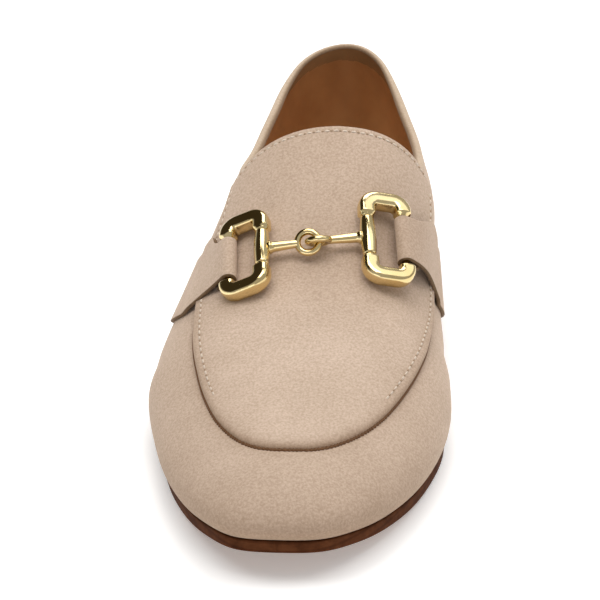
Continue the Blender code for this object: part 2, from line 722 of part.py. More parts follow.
def build_shoe():
    """Make every piece of the shoe in an empty scene."""
    for leftover in list(bpy.data.objects):
        bpy.data.objects.remove(leftover)
    build_bottom()
    build_upper()
    build_apron()
    for side, label in ((LATERAL, "lateral"), (MEDIAL, "medial")):
        build_strap(side, "saddle_strap_" + label)
        build_ring(side, "bit_ring_" + label)
        build_link(side, "bit_link_" + label)


build_shoe()
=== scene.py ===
"""Looks of a right-foot bit loafer: pale suede, brown lining, dark sole edge and polished bit."""

import math
from collections import namedtuple

import bmesh
import bpy
import numpy as np
from mathutils import Matrix, Vector

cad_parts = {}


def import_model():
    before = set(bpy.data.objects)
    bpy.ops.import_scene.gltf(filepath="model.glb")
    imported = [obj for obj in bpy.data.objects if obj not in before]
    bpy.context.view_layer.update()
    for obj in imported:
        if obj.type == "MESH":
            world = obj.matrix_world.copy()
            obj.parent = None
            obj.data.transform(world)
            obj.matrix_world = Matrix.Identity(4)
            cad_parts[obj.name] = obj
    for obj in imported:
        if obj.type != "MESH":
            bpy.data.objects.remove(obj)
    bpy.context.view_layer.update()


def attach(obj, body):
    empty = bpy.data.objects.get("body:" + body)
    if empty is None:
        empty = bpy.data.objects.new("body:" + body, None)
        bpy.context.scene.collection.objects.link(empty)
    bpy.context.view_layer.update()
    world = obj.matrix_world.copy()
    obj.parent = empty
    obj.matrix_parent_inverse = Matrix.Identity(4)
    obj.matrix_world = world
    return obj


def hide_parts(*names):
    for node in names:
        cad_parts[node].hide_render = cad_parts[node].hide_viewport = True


# The last and the layers on it, as in the CAD model, in metres
SHOE_LENGTH = 0.262
BALL_HALF_WIDTH = 0.0435
INSTEP_HEIGHT = 0.080
HEEL_CENTRE = 0.034
UPPER_WALL = 0.0020
SKIN_GAP = 0.0005
APRON_THICKNESS = 0.0016
STRAP_THICKNESS = 0.0012
INSOLE_THICKNESS = 0.0030
OUTSOLE_THICKNESS = 0.0042
HEEL_BLOCK_HEIGHT = 0.0084
TOP_LIFT_THICKNESS = 0.0050
TOE_SPRING = 0.0090
SOLE_MARGIN = 0.0002
HEEL_TAPER = 0.0015
BREAST_HOLLOW = 0.0040
SEAT_GAP = 0.0003

# Stations along the shoe, as shares of its length from the heel's back
HEEL_BREAST = 0.25
BALL_BACK = 0.60
BALL_FRONT = 0.73

# Bit
RING_BAR_RADIUS = 0.0027
RING_STRAP_CORE = 0.0012
RING_SLEEVE_CORE = 0.0013
RING_HALF_LENGTH = 0.0152
RING_REACH = 0.0120
RING_CORNER = 0.0036
RING_LIFT = 0.0069
RING_STEP = 0.00022
RING_NECK = 0.80
SLEEVE_HALF = 0.0076
SLEEVE_END_RADIUS = 0.0021
SLEEVE_BELLY_RADIUS = 0.0026
ROD_RADIUS_AT_SLEEVE = 0.0018
ROD_RADIUS_AT_EYE = 0.0013
EYE_RADIUS = 0.0034
EYE_WIRE_RADIUS = 0.0011
EYE_SPACING = 0.0033
EYE_LIFT = 0.0068
EYE_SHIFT = 0.0019
EYE_LEAN = 30.0

# Fine work that only this script shows
COLLAR_BEAD_RADIUS = 0.0017
COLLAR_INSET = 0.0015
APRON_EDGE_ROUND = 0.0026
STITCH_INSET = 0.0030
TONGUE_INSET = 0.0023
STITCH_LENGTH = 0.0019
STITCH_PITCH = 0.0029
STITCH_RADIUS = 0.00036
STITCH_SINK = 0.00012
STITCH_SINK_WIDTH = 0.0006
HOLE_LENGTH = 0.0007
SEAM_RADIUS = 0.00062
SEAM_STEP = 0.00022
GATHER_PITCH = 0.0013
GATHER_DEPTH = 0.30
GATHER_START = -0.165
GATHER_GROWTH = 0.020
SEAM_PUFF = 0.00045
SEAM_PUFF_INSET = 0.0022
SEAM_PUFF_WIDTH = 0.0021
# Width of the lining's darker top strip, painted shade under the collar's edge
LINING_SHADE_BAND = 0.0050

# Steps of the fine meshes
DENSE_STEPS = 1000
SOFTEN_STEPS = 9
UPPER_COLUMNS = 261
UPPER_ROWS = 84
APRON_ROWS = 200
APRON_HALF_COLUMNS = 56
STRAP_LINES = 41
RIB_STEP = 0.02

LATERAL, MEDIAL = -1, 1
SIDES = (LATERAL, MEDIAL)

# Sizes that differ between the sides
RING_OUTER_LIFT = {LATERAL: 0.0056, MEDIAL: 0.0080}
STITCH_END = {LATERAL: 0.775, MEDIAL: 0.755}
WING_THINNING = {LATERAL: 0.0006, MEDIAL: 0.0}
SWELL = {LATERAL: 0.0002, MEDIAL: 0.0016}
# Painted shade over each strap, heavier on the medial one
STRAP_SHADE = {LATERAL: 0.06, MEDIAL: 0.26}
TONGUE_FALL = {LATERAL: 0.004, MEDIAL: 0.046}
TONGUE_TOP = 0.399
TONGUE_CORNER = 0.012
TONGUE_ROW_END = 0.93

# Painted shade and painted light on the suede, as shares from 0 for none to 1 for brown, and how far it
# reaches
# Painted shade along the sole, most at the toe
SOLE_SHADE = 0.30
SOLE_SHADE_AT_TOE = 0.55
SOLE_SHADE_REACH = 0.004
# Painted shade beside the apron's seam
SEAM_SHADE = 0.55
SEAM_SHADE_REACH = 0.0013
# Apron: an even darkening, painted light toward the toe and painted shade in its middle
APRON_EVEN_DARKENING = 0.06
APRON_PAINTED_LIGHT = 0.20
APRON_MIDDLE_SHADE = 0.09

# One row for each rib of the last, from the heel's back to the toe's tip. Stations are shares of SHOE_LENGTH,
# half widths and offsets shares of BALL_HALF_WIDTH, and heights over the sole shares of INSTEP_HEIGHT.
RIB_COLUMNS = "lateral_at lateral_out medial_at medial_out ridge_at ridge_up ridge_off swell fullness"
Rib = namedtuple("Rib", RIB_COLUMNS)
RIBS = (
    Rib(0.012, 0.000, 0.012, 0.000, 0.130, 0.960, 0.00, 0.100, 2.55),
    Rib(0.030, 0.325, 0.030, 0.275, 0.140, 0.960, 0.00, 0.065, 1.84),
    Rib(0.090, 0.543, 0.090, 0.497, 0.170, 0.950, 0.01, 0.048, 1.57),
    Rib(0.180, 0.615, 0.180, 0.637, 0.220, 0.930, 0.03, 0.040, 1.72),
    Rib(0.290, 0.615, 0.290, 0.702, 0.290, 0.890, 0.08, 0.068, 2.25),
    Rib(0.400, 0.740, 0.400, 0.761, 0.385, 0.755, 0.13, 0.100, 2.52),
    Rib(0.500, 0.887, 0.500, 0.815, 0.480, 0.640, 0.11, 0.127, 2.28),
    Rib(0.590, 1.005, 0.600, 0.911, 0.575, 0.540, 0.07, 0.115, 2.34),
    Rib(0.670, 1.070, 0.690, 1.015, 0.660, 0.460, 0.05, 0.075, 2.40),
    Rib(0.760, 0.955, 0.785, 0.940, 0.740, 0.390, 0.04, 0.088, 2.27),
    Rib(0.850, 0.791, 0.870, 0.784, 0.805, 0.335, 0.02, 0.085, 2.25),
    Rib(0.937, 0.531, 0.947, 0.526, 0.850, 0.298, 0.01, 0.080, 2.30),
    Rib(0.984, 0.280, 0.984, 0.280, 0.875, 0.281, 0.00, 0.075, 2.30),
    Rib(0.990, 0.000, 0.990, 0.000, 0.880, 0.278, 0.00, 0.075, 2.30),
)

# Side view of the topline: station, and height over the floor as a share of INSTEP_HEIGHT
TopPoint = namedtuple("TopPoint", "at up")
TOPLINE = (
    TopPoint(0.000, 0.750),
    TopPoint(0.060, 0.730),
    TopPoint(0.140, 0.675),
    TopPoint(0.220, 0.635),
    TopPoint(0.300, 0.640),
    TopPoint(0.360, 0.680),
    TopPoint(0.400, 0.730),
    TopPoint(0.430, 0.790),
    TopPoint(0.450, 0.880),
    TopPoint(0.470, 1.050),
)

# Edge of the apron on each side, as a share of the rib from the sole (0) to the ridge (1)
ApronPoint = namedtuple("ApronPoint", "place lateral medial")
APRON_EDGE = (
    ApronPoint(0.340, 0.405, 0.285),
    ApronPoint(0.500, 0.440, 0.322),
    ApronPoint(0.580, 0.475, 0.356),
    ApronPoint(0.620, 0.508, 0.404),
    ApronPoint(0.660, 0.528, 0.450),
    ApronPoint(0.700, 0.537, 0.484),
    ApronPoint(0.740, 0.548, 0.516),
    ApronPoint(0.780, 0.576, 0.553),
    ApronPoint(0.820, 0.614, 0.601),
    ApronPoint(0.860, 0.667, 0.665),
    ApronPoint(0.890, 0.719, 0.722),
    ApronPoint(0.920, 0.790, 0.795),
    ApronPoint(0.940, 0.848, 0.851),
    ApronPoint(0.960, 0.888, 0.889),
    ApronPoint(0.980, 0.907, 0.907),
    ApronPoint(1.000, 0.913, 0.913),
)

# Where the two bars of each ring lie: places along the outline and shares of the rib
BitPlace = namedtuple("BitPlace", "inner_place inner_share outer_place outer_share")
BIT = {
    LATERAL: BitPlace(0.561, 0.804, 0.560, 0.668),
    MEDIAL: BitPlace(0.538, 0.793, 0.526, 0.640),
}
EYE_PLACE = 0.558

# Places along the outline of the saddle strap's two edges, at the sole and up at the apron's edge
StrapPlace = namedtuple("StrapPlace", "sole_back sole_front top_back top_front")
STRAP = {
    LATERAL: StrapPlace(0.408, 0.468, 0.476, 0.583),
    MEDIAL: StrapPlace(0.366, 0.448, 0.424, 0.516),
}
STRAP_RING_HALF_WIDTH = 0.0086
STRAP_FOOT_SHARE = 0.03
STRAP_RETURN = 0.0050
STRAP_LIFT = 0.0001
STRAP_TUCK_LIFT = 0.0013
STRAP_TUCK_SHARE = 0.02
STRAP_SWEEP = 1.7
WRAP_START = 25.0

# Soft creases of the suede: their middles, their turns in degrees from the shoe's length, and their sizes
BOTH = 0
OUTLINE_LENGTH = 0.300
RIB_LENGTH = 0.110
SIDE_LENGTH = 0.062
Crease = namedtuple("Crease", "side place share turn half_length half_width height")
CREASES = (
    Crease(BOTH, 0.600, 1.00, 90.0, 0.016, 0.008, -0.00045),
    Crease(LATERAL, 0.480, 0.72, 35.0, 0.014, 0.006, -0.00040),
    Crease(MEDIAL, 0.470, 0.66, 40.0, 0.012, 0.006, -0.00030),
    Crease(LATERAL, 0.655, 0.66, 20.0, 0.018, 0.006, 0.00025),
    Crease(MEDIAL, 0.640, 0.62, 20.0, 0.016, 0.006, 0.00025),
    Crease(LATERAL, 0.690, 0.80, 15.0, 0.020, 0.007, -0.00022),
    Crease(MEDIAL, 0.700, 0.78, 15.0, 0.018, 0.007, -0.00022),
    Crease(LATERAL, 0.620, 0.24, 75.0, 0.014, 0.005, -0.00040),
    Crease(MEDIAL, 0.560, 0.16, 75.0, 0.012, 0.005, -0.00040),
    Crease(LATERAL, 0.660, 0.20, 80.0, 0.013, 0.006, 0.00030),
    Crease(MEDIAL, 0.600, 0.15, 80.0, 0.012, 0.006, 0.00030),
    Crease(LATERAL, 0.300, 0.12, 10.0, 0.020, 0.006, -0.00035),
    Crease(MEDIAL, 0.280, 0.10, 10.0, 0.020, 0.006, -0.00035),
    Crease(LATERAL, 0.110, 0.16, 5.0, 0.016, 0.005, -0.00030),
    Crease(MEDIAL, 0.110, 0.14, 5.0, 0.016, 0.005, -0.00030),
)


def smoothstep(value):
    """Soft step from 0 to 1, flat at both ends."""
    clipped = np.clip(value, 0.0, 1.0)
    return clipped * clipped * (3.0 - 2.0 * clipped)


def rising(value, start, width):
    """Soft step from 0 at a start to 1 a width further."""
    return smoothstep((value - start) / width)


def blend(part, start, leave, end, arrive):
    """Smooth curve from one end to the other, with the direction in which it leaves and arrives."""
    square = part * part
    cube = square * part
    first = start * (2 * cube - 3 * square + 1) + leave * (cube - 2 * square + part)
    return first + (end * (3 * square - 2 * cube) + arrive * (cube - square))


def hermite(knots, values, at):
    """Smooth curve through the values at the knots, read off at the given places."""
    knots = np.asarray(knots, float)
    values = np.asarray(values, float)
    at = np.asarray(at, float)
    spans = np.diff(knots)
    slopes = np.diff(values) / spans
    middle = (spans[1:] * slopes[:-1] + spans[:-1] * slopes[1:]) / (spans[1:] + spans[:-1])
    tangents = np.concatenate([slopes[:1], middle, slopes[-1:]])
    cell = np.clip(np.searchsorted(knots, at, side="right") - 1, 0, len(spans) - 1)
    width = spans[cell]
    part = np.clip((at - knots[cell]) / width, 0.0, 1.0)
    return blend(part, values[cell], tangents[cell] * width, values[cell + 1], tangents[cell + 1] * width)


def sole_under(station):
    """Height of the outsole's underside over the floor: heel, arch, flat ball and toe spring."""
    arch = 1.0 - smoothstep((station - HEEL_BREAST) / (BALL_BACK - HEEL_BREAST))
    toe = np.clip((station - BALL_FRONT) / (1.0 - BALL_FRONT), 0.0, 1.0) ** 1.9
    heel_height = TOP_LIFT_THICKNESS + HEEL_BLOCK_HEIGHT + 2.0 * SEAT_GAP
    return heel_height * arch + TOE_SPRING * toe


def feather_height(station):
    """Height over the floor of the line where the upper stands on the outsole."""
    return sole_under(station) + OUTSOLE_THICKNESS + SEAT_GAP


def run_along(line):
    """Distance of each point of a line from its first, along it."""
    return np.concatenate([[0.0], np.cumsum(np.linalg.norm(np.diff(line, axis=0), axis=1))])


def read_off(at, run, values):
    """Values given along a line, such as its points, read off at distances along it."""
    return np.stack([np.interp(at, run, values[:, axis]) for axis in range(3)], axis=-1)


def rib_knots(side):
    """The rib table of one side as rows of numbers, with a mirrored row beyond each end."""
    rows = []
    for rib in RIBS:
        at = rib.lateral_at if side == LATERAL else rib.medial_at
        out = rib.lateral_out if side == LATERAL else rib.medial_out
        rows.append([at, out, rib.ridge_at, rib.ridge_up, rib.ridge_off, rib.swell, rib.fullness])
    rows = np.array(rows)
    before = rows[1].copy()
    before[1] *= -1.0
    after = rows[-2].copy()
    after[1] *= -1.0
    rows = np.vstack([before, rows, after])
    feet = np.stack([rows[:, 1] * BALL_HALF_WIDTH, rows[:, 0] * SHOE_LENGTH], axis=-1)
    run = run_along(feet)
    return (run - run[1]) / (run[-2] - run[1]), rows


KNOTS = (rib_knots(LATERAL)[0] + rib_knots(MEDIAL)[0]) / 2.0
ROWS = {side: rib_knots(side)[1] for side in SIDES}


def softened_table(side):
    """The rib table of one side, sampled finely and softened so that no section shows as a ridge."""
    places = np.linspace(0.0, 1.0, DENSE_STEPS + 1)
    reach = 4 * SOFTEN_STEPS
    kernel = np.exp(-0.5 * (np.arange(-reach, reach + 1) / SOFTEN_STEPS) ** 2)
    kernel /= kernel.sum()
    columns = []
    for column in range(7):
        values = hermite(KNOTS, ROWS[side][:, column], places)
        sign = -1.0 if column == 1 else 1.0
        before = sign * values[reach:0:-1]
        after = sign * values[-2:-reach - 2:-1]
        columns.append(np.convolve(np.concatenate([before, values, after]), kernel, mode="valid"))
    along = np.gradient(columns[0]) * SHOE_LENGTH
    across = np.gradient(columns[1]) * BALL_HALF_WIDTH * side
    along[0] = 0.0
    along[-1] = 0.0
    length = np.hypot(along, across)
    columns.append(side * along / length)
    columns.append(-side * across / length)
    return places, columns


SOFT = {side: softened_table(side) for side in SIDES}


def rib_values(side, place):
    """Values of the last's rib at a place along the outline, and the outline's outward direction there."""
    places, columns = SOFT[side]
    values = [np.interp(np.clip(place, 0.0, 1.0), places, column) for column in columns]
    return values[0], values[1], values[2:7], values[7], values[8]


def last_point(side, place, share):
    """Point of the last at a place along the outline, heel to toe, and a share of the rib, sole to ridge."""
    place, share = np.broadcast_arrays(np.asarray(place, float), np.asarray(share, float))
    at, out, shape, outward_x, outward_along = rib_values(side, place)
    ridge_at, ridge_up, ridge_off, swell, fullness = shape
    angle = np.clip(share, 0.0, 1.0) * math.pi / 2.0
    level = np.clip(np.cos(angle), 0.0, 1.0) ** (2.0 / fullness)
    rise = np.clip(np.sin(angle), 0.0, 1.0) ** (2.0 / fullness)
    foot_x = side * out * BALL_HALF_WIDTH
    foot_along = at * SHOE_LENGTH
    ridge_x = ridge_off * BALL_HALF_WIDTH
    ridge_along = ridge_at * SHOE_LENGTH
    bulge = swell * BALL_HALF_WIDTH * 6.75 * rise * (1.0 - rise) ** 2
    x = ridge_x + (foot_x - ridge_x) * level + bulge * outward_x
    along = ridge_along + (foot_along - ridge_along) * level + bulge * outward_along
    foot_height = feather_height(at)
    ridge_height = feather_height(ridge_at) + ridge_up * INSTEP_HEIGHT
    height = foot_height + (ridge_height - foot_height) * rise
    return np.stack([x, HEEL_CENTRE - along, height], axis=-1)


def last_normal(side, place, share):
    """Outward direction of the last's surface."""
    place, share = np.broadcast_arrays(np.asarray(place, float), np.asarray(share, float))
    share = np.clip(share, 0.02, 0.985)
    along = last_point(side, place + 0.003, share) - last_point(side, place - 0.003, share)
    up = last_point(side, place, share + 0.012) - last_point(side, place, share - 0.012)
    normal = np.cross(along, up) * -side
    return normal / np.linalg.norm(normal, axis=-1, keepdims=True)


def lifted(side, place, share, lift):
    """Point held a lift off the last's surface."""
    lift = np.asarray(lift, float)
    return last_point(side, place, share) + last_normal(side, place, share) * lift[..., None]


def station_of(points):
    """Share of the shoe's length at which points lie."""
    return (HEEL_CENTRE - points[..., 1]) / SHOE_LENGTH


def top_share(side, place):
    """Share of a rib at which the topline cuts it, 1 where the rib runs right over the instep."""
    shares = np.linspace(0.0, 1.0, 401)
    points = last_point(side, place, shares)
    limit = hermite([row.at for row in TOPLINE], [row.up for row in TOPLINE], station_of(points))
    over = np.nonzero(points[:, 2] > limit * INSTEP_HEIGHT)[0]
    beyond_throat = station_of(points[-1]) > TOPLINE[-1].at
    if beyond_throat or len(over) == 0:
        return 1.0
    first = over[0]
    gap = points[:, 2] - limit * INSTEP_HEIGHT
    part = gap[first - 1] / (gap[first - 1] - gap[first])
    return shares[first - 1] + (shares[first] - shares[first - 1]) * part


def apron_share(side, place):
    """Share of a rib at which the apron's edge lies."""
    shares = [row.lateral if side == LATERAL else row.medial for row in APRON_EDGE]
    return hermite([row.place for row in APRON_EDGE], shares, np.clip(place, APRON_EDGE[0].place, 1.0))


def throat_place():
    """First place along the outline whose ribs run unbroken over the instep."""
    low = 0.35
    high = 0.60
    for _ in range(30):
        middle = (low + high) / 2.0
        if min(top_share(LATERAL, middle), top_share(MEDIAL, middle)) < 1.0:
            low = middle
        else:
            high = middle
    return high


def srgb(red, green, blue):
    """Linear colour of an sRGB one given in 0 to 255."""
    parts = []
    for value in (red, green, blue):
        value = value / 255.0
        parts.append(value / 12.92 if value <= 0.04045 else ((value + 0.055) / 1.055) ** 2.4)
    return (*parts, 1.0)


def around(count):
    """Angles at equal steps once round."""
    return np.linspace(0.0, 2.0 * math.pi, count, endpoint=False)


def unit(vector):
    """Vector, or grid of vectors, of length one."""
    vector = np.asarray(vector, float)
    return vector / np.linalg.norm(vector, axis=-1, keepdims=True)


# Materials


WHITE = (1.0, 1.0, 1.0, 1.0)
BLACK = (0.0, 0.0, 0.0, 1.0)
DARK_WALL = (0.09, 0.07, 0.04, 1.0)
FLOOR_COLOUR = srgb(250, 250, 250)
# Brown toward which painted shade darkens the suede
SHADE_BROWN = (0.50, 0.40, 0.30)
NAP_SCALE = 1300.0
BRUSHED_SCALE = 60.0


def set_inputs(node, values):
    """Give a node's sockets their values."""
    for name, value in values.items():
        node.inputs[name].default_value = value


def new_material(name, colour, roughness, metallic=0.0):
    """Principled material, with its node tree, shader and object coordinates."""
    material = bpy.data.materials.new(name)
    material.use_nodes = True
    tree = material.node_tree
    shader = tree.nodes["Principled BSDF"]
    set_inputs(shader, {"Base Color": colour, "Roughness": roughness, "Metallic": metallic})
    place = tree.nodes.new("ShaderNodeTexCoord").outputs["Object"]
    return material, tree, shader, place


def noise(tree, place, scale, detail=3.0, roughness=0.55):
    """Noise texture's value in object space."""
    node = tree.nodes.new("ShaderNodeTexNoise")
    set_inputs(node, {"Scale": scale, "Detail": detail, "Roughness": roughness})
    tree.links.new(place, node.inputs["Vector"])
    return node.outputs["Fac"]


def ramp(tree, value, stops):
    """Colour ramp over (position, colour) stops."""
    node = tree.nodes.new("ShaderNodeValToRGB")
    tree.links.new(value, node.inputs["Fac"])
    elements = node.color_ramp.elements
    while len(elements) < len(stops):
        elements.new(0.5)
    for element, (position, colour) in zip(elements, stops):
        element.position = position
        element.color = colour
    return node.outputs["Color"]


def mixed(tree, kind, factor, first, second):
    """Colour mix of two colour outputs, with a number or an output as factor."""
    node = tree.nodes.new("ShaderNodeMix")
    node.data_type = "RGBA"
    node.blend_type = kind
    if isinstance(factor, float):
        node.inputs["Factor"].default_value = factor
    else:
        tree.links.new(factor, node.inputs["Factor"])
    for socket, colour in ((node.inputs[6], first), (node.inputs[7], second)):
        if isinstance(colour, tuple):
            socket.default_value = colour
        else:
            tree.links.new(colour, socket)
    return node.outputs[2]


def bump(tree, shader, height, strength, distance, below=None):
    """Bump from a height value into the shader, over an earlier bump if there is one."""
    node = tree.nodes.new("ShaderNodeBump")
    set_inputs(node, {"Strength": strength, "Distance": distance})
    tree.links.new(height, node.inputs["Height"])
    if below is not None:
        tree.links.new(below, node.inputs["Normal"])
    tree.links.new(node.outputs["Normal"], shader.inputs["Normal"])
    return node.outputs["Normal"]


def suede_material(name, pale, deep):
    """Suede: two tones speckled by the nap, brushed patches, a matte face and a soft sheen, times the painted
    shade and painted light of the tone attribute.
    """
    material, tree, shader, place = new_material(name, pale, 0.93)
    speckle = ramp(tree, noise(tree, place, NAP_SCALE, 3.0, 0.7), [(0.36, deep), (0.64, pale)])
    brushed = ramp(tree, noise(tree, place, BRUSHED_SCALE), [(0.30, srgb(246, 245, 243)), (0.70, WHITE)])
    tone = mixed(tree, "MULTIPLY", 1.0, speckle, brushed)
    # Painted shade and painted light, read from the mesh's tone attribute
    painted_shading = tree.nodes.new("ShaderNodeVertexColor")
    painted_shading.layer_name = "tone"
    tree.links.new(mixed(tree, "MULTIPLY", 1.0, tone, painted_shading.outputs["Color"]), shader.inputs["Base Color"])
    set_inputs(shader, {"Specular IOR Level": 0.25, "Sheen Weight": 0.28, "Sheen Roughness": 0.45,
                        "Sheen Tint": srgb(240, 222, 205)})
    coarse = bump(tree, shader, noise(tree, place, 420.0, 3.0, 0.6), 0.25, 0.0002)
    bump(tree, shader, noise(tree, place, 1900.0, 2.0, 0.7), 0.45, 0.00014, coarse)
    return material


def leather_material(name, pale, deep, roughness, coat, grain_scale=900.0, grain_depth=0.00008):
    """Smooth leather: slow tone changes, fine grain and a soft gloss."""
    material, tree, shader, place = new_material(name, pale, roughness)
    tone = ramp(tree, noise(tree, place, 45.0, 4.0, 0.55), [(0.35, deep), (0.68, pale)])
    tree.links.new(tone, shader.inputs["Base Color"])
    set_inputs(shader, {"Coat Weight": coat, "Coat Roughness": 0.35})
    node = tree.nodes.new("ShaderNodeTexVoronoi")
    node.inputs["Scale"].default_value = grain_scale
    tree.links.new(place, node.inputs["Vector"])
    grain = bump(tree, shader, node.outputs["Distance"], 0.35, grain_depth)
    bump(tree, shader, noise(tree, place, 2400.0, 2.0, 0.6), 0.25, grain_depth, grain)
    return material


def stacked_material(name, pale, deep, layer, roughness):
    """Burnished leather edge: thin level layers as tone lines and fine grooves."""
    material, tree, shader, place = new_material(name, pale, roughness)
    wave = tree.nodes.new("ShaderNodeTexWave")
    wave.wave_type = "BANDS"
    wave.bands_direction = "Z"
    set_inputs(wave, {"Scale": 0.314 / layer, "Distortion": 0.6, "Detail": 2.0, "Detail Scale": 40.0})
    tree.links.new(place, wave.inputs["Vector"])
    lines = ramp(tree, wave.outputs["Fac"], [(0.05, deep), (0.35, pale)])
    fibres = ramp(tree, noise(tree, place, 260.0, 4.0, 0.6), [(0.3, srgb(190, 180, 175)), (0.7, WHITE)])
    tree.links.new(mixed(tree, "MULTIPLY", 1.0, lines, fibres), shader.inputs["Base Color"])
    set_inputs(shader, {"Specular IOR Level": 0.03, "Coat Weight": 0.0, "Coat Roughness": 0.3})
    grooves = bump(tree, shader, wave.outputs["Fac"], 0.25, 0.0001)
    bump(tree, shader, noise(tree, place, 700.0, 3.0, 0.6), 0.2, 0.0001, grooves)
    return material


def plain_material(name, colour, roughness, scale, depth):
    """One colour with a fine unevenness of tone and surface."""
    material, tree, shader, place = new_material(name, colour, roughness)
    darker = tuple(value * 0.75 for value in colour[:3]) + (1.0,)
    tone = ramp(tree, noise(tree, place, scale, 3.0, 0.6), [(0.3, darker), (0.65, colour)])
    tree.links.new(tone, shader.inputs["Base Color"])
    bump(tree, shader, noise(tree, place, scale * 1.7, 3.0, 0.6), 0.4, depth)
    return material


def gold_material():
    """Polished gold-coloured metal with the faintest hand-buffed waviness."""
    material, tree, shader, place = new_material("polished_gold", srgb(232, 212, 158), 0.16, 1.0)
    tone = ramp(tree, noise(tree, place, 120.0, 2.0, 0.5),
                [(0.3, srgb(224, 200, 142)), (0.7, srgb(236, 216, 166))])
    tree.links.new(tone, shader.inputs["Base Color"])
    gloss = tree.nodes.new("ShaderNodeMapRange")
    set_inputs(gloss, {"To Min": 0.07, "To Max": 0.16})
    tree.links.new(noise(tree, place, 300.0, 3.0, 0.5), gloss.inputs["Value"])
    tree.links.new(gloss.outputs["Result"], shader.inputs["Roughness"])
    bump(tree, shader, noise(tree, place, 160.0, 2.0, 0.5), 0.05, 0.0001)
    return material


# Meshes


def shading_tone(amount):
    """Tone of suede for a grid of painted shade amounts: 0 leaves it as it is, 1 is the brown of full painted
    shade, and below 0 is painted light.
    """
    return 1.0 - np.asarray(amount)[..., None] * (1.0 - np.array(SHADE_BROWN))


def make_piece(name, vertices, faces, materials, nodes=(), face_slots=None, weld=False, tones=None):
    """Smooth mesh piece that rides on the shoe, with the CAD nodes that it stands for."""
    mesh = bpy.data.meshes.new(name)
    mesh.from_pydata(np.asarray(vertices).tolist(), [], [list(face) for face in faces])
    for material in materials:
        mesh.materials.append(material)
    if face_slots is not None:
        mesh.polygons.foreach_set("material_index", np.asarray(face_slots, np.int32))
    # Tone attribute: painted shade and painted light on the suede
    if tones is not None:
        colours = np.hstack([tones.reshape(-1, 3), np.ones((tones.size // 3, 1))])
        mesh.color_attributes.new("tone", "FLOAT_COLOR", "POINT").data.foreach_set("color", colours.ravel())
    if weld:
        solid = bmesh.new()
        solid.from_mesh(mesh)
        bmesh.ops.remove_doubles(solid, verts=solid.verts, dist=0.000002)
        bmesh.ops.recalc_face_normals(solid, faces=solid.faces)
        solid.to_mesh(mesh)
        solid.free()
    mesh.polygons.foreach_set("use_smooth", np.ones(len(mesh.polygons), bool))
    mesh.update()
    piece = bpy.data.objects.new(name, mesh)
    bpy.context.scene.collection.objects.link(piece)
    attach(piece, "root")
    if nodes:
        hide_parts(*nodes)
    return piece


def grid_faces(rows, columns, first=0, closed_columns=False, closed_rows=False):
    """Quads between the points of a grid stored row by row."""
    faces = []
    for row in range(rows if closed_rows else rows - 1):
        below = first + row * columns
        above = first + ((row + 1) % rows) * columns
        for column in range(columns if closed_columns else columns - 1):
            after = (column + 1) % columns
            faces.append((below + column, below + after, above + after, above + column))
    return faces


def slab(front, back, folded=False):
    """Points and faces of two grids closed into one body, and a mark per face: 0 front, 1 back, 2 rim."""
    rows, columns = front.shape[:2]
    count = rows * columns
    faces = grid_faces(rows, columns)
    marks = [0] * len(faces)
    behind = [tuple(reversed(face)) for face in grid_faces(rows, columns, count)]
    faces += behind
    marks += [1] * len(behind)
    rim = [row * columns for row in range(rows)]
    rim += [(rows - 1) * columns + column for column in range(1, columns)]
    rim += [row * columns + columns - 1 for row in range(rows - 2, -1, -1)]
    rim += [column for column in range(columns - 2, 0, -1)]
    last_row = range((rows - 1) * columns, count)
    for here, after in zip(rim, rim[1:] + rim[:1]):
        if not (folded and here in last_row and after in last_row):
            faces.append((here, after, count + after, count + here))
            marks.append(2)
    return np.vstack([front.reshape(-1, 3), back.reshape(-1, 3)]), faces, marks


def sweep(line, radii, up, sides, closed, flatten=1.0, squareness=0.0):
    """Bar along a line of points: radii along it, up as one direction or one a point, flattened along up.

    The section is round, or a soft square where the squareness is 1.
    """
    line = np.asarray(line, float)
    count = len(line)
    ups = np.broadcast_to(np.asarray(up, float), (count, 3))
    radii = np.broadcast_to(np.asarray(radii, float), (count,))
    if closed:
        ahead = np.roll(line, -1, axis=0) - np.roll(line, 1, axis=0)
    else:
        ahead = np.gradient(line, axis=0)
    ahead = unit(ahead)
    first = unit(ups - ahead * (ups * ahead).sum(-1, keepdims=True))
    second = np.cross(ahead, first)
    turns = around(sides)
    growth = (np.cos(turns) ** 4 + np.sin(turns) ** 4) ** -0.25 - 1.0
    reach = radii[:, None] * (1.0 + np.broadcast_to(squareness, (count,))[:, None] * growth)
    ring = (first[:, None, :] * np.cos(turns)[None, :, None] * flatten
            + second[:, None, :] * np.sin(turns)[None, :, None])
    points = (line[:, None, :] + ring * reach[:, :, None]).reshape(-1, 3)
    faces = grid_faces(count, sides, 0, closed_columns=True, closed_rows=closed)
    if not closed:
        faces.append(tuple(range(sides - 1, -1, -1)))
        faces.append(tuple(range((count - 1) * sides, count * sides)))
    return points, faces


def resample(line, step, closed=False):
    """Points of a line at equal steps along it."""
    line = np.asarray(line, float)
    if closed:
        line = np.vstack([line, line[:1]])
    run = run_along(line)
    count = max(2, int(round(run[-1] / step)))
    points = read_off(np.linspace(0.0, run[-1], count + 1), run, line)
    return points[:-1] if closed else points


def joined(parts):
    """One list of points and faces from several."""
    points = []
    faces = []
    count = 0
    for part_points, part_faces in parts:
        faces += [tuple(number + count for number in face) for face in part_faces]
        points.append(part_points)
        count += len(part_points)
    return np.vstack(points), faces


# Upper


THROAT = throat_place()
UPPER_PLACES = np.sort(np.concatenate([
    np.linspace(0.0, 1.0, UPPER_COLUMNS),
    THROAT - np.array([0.0, 0.0003, 0.0008, 0.0016, 0.0028, 0.0045, 0.0065, 0.009, 0.012, 0.0155]),
]))


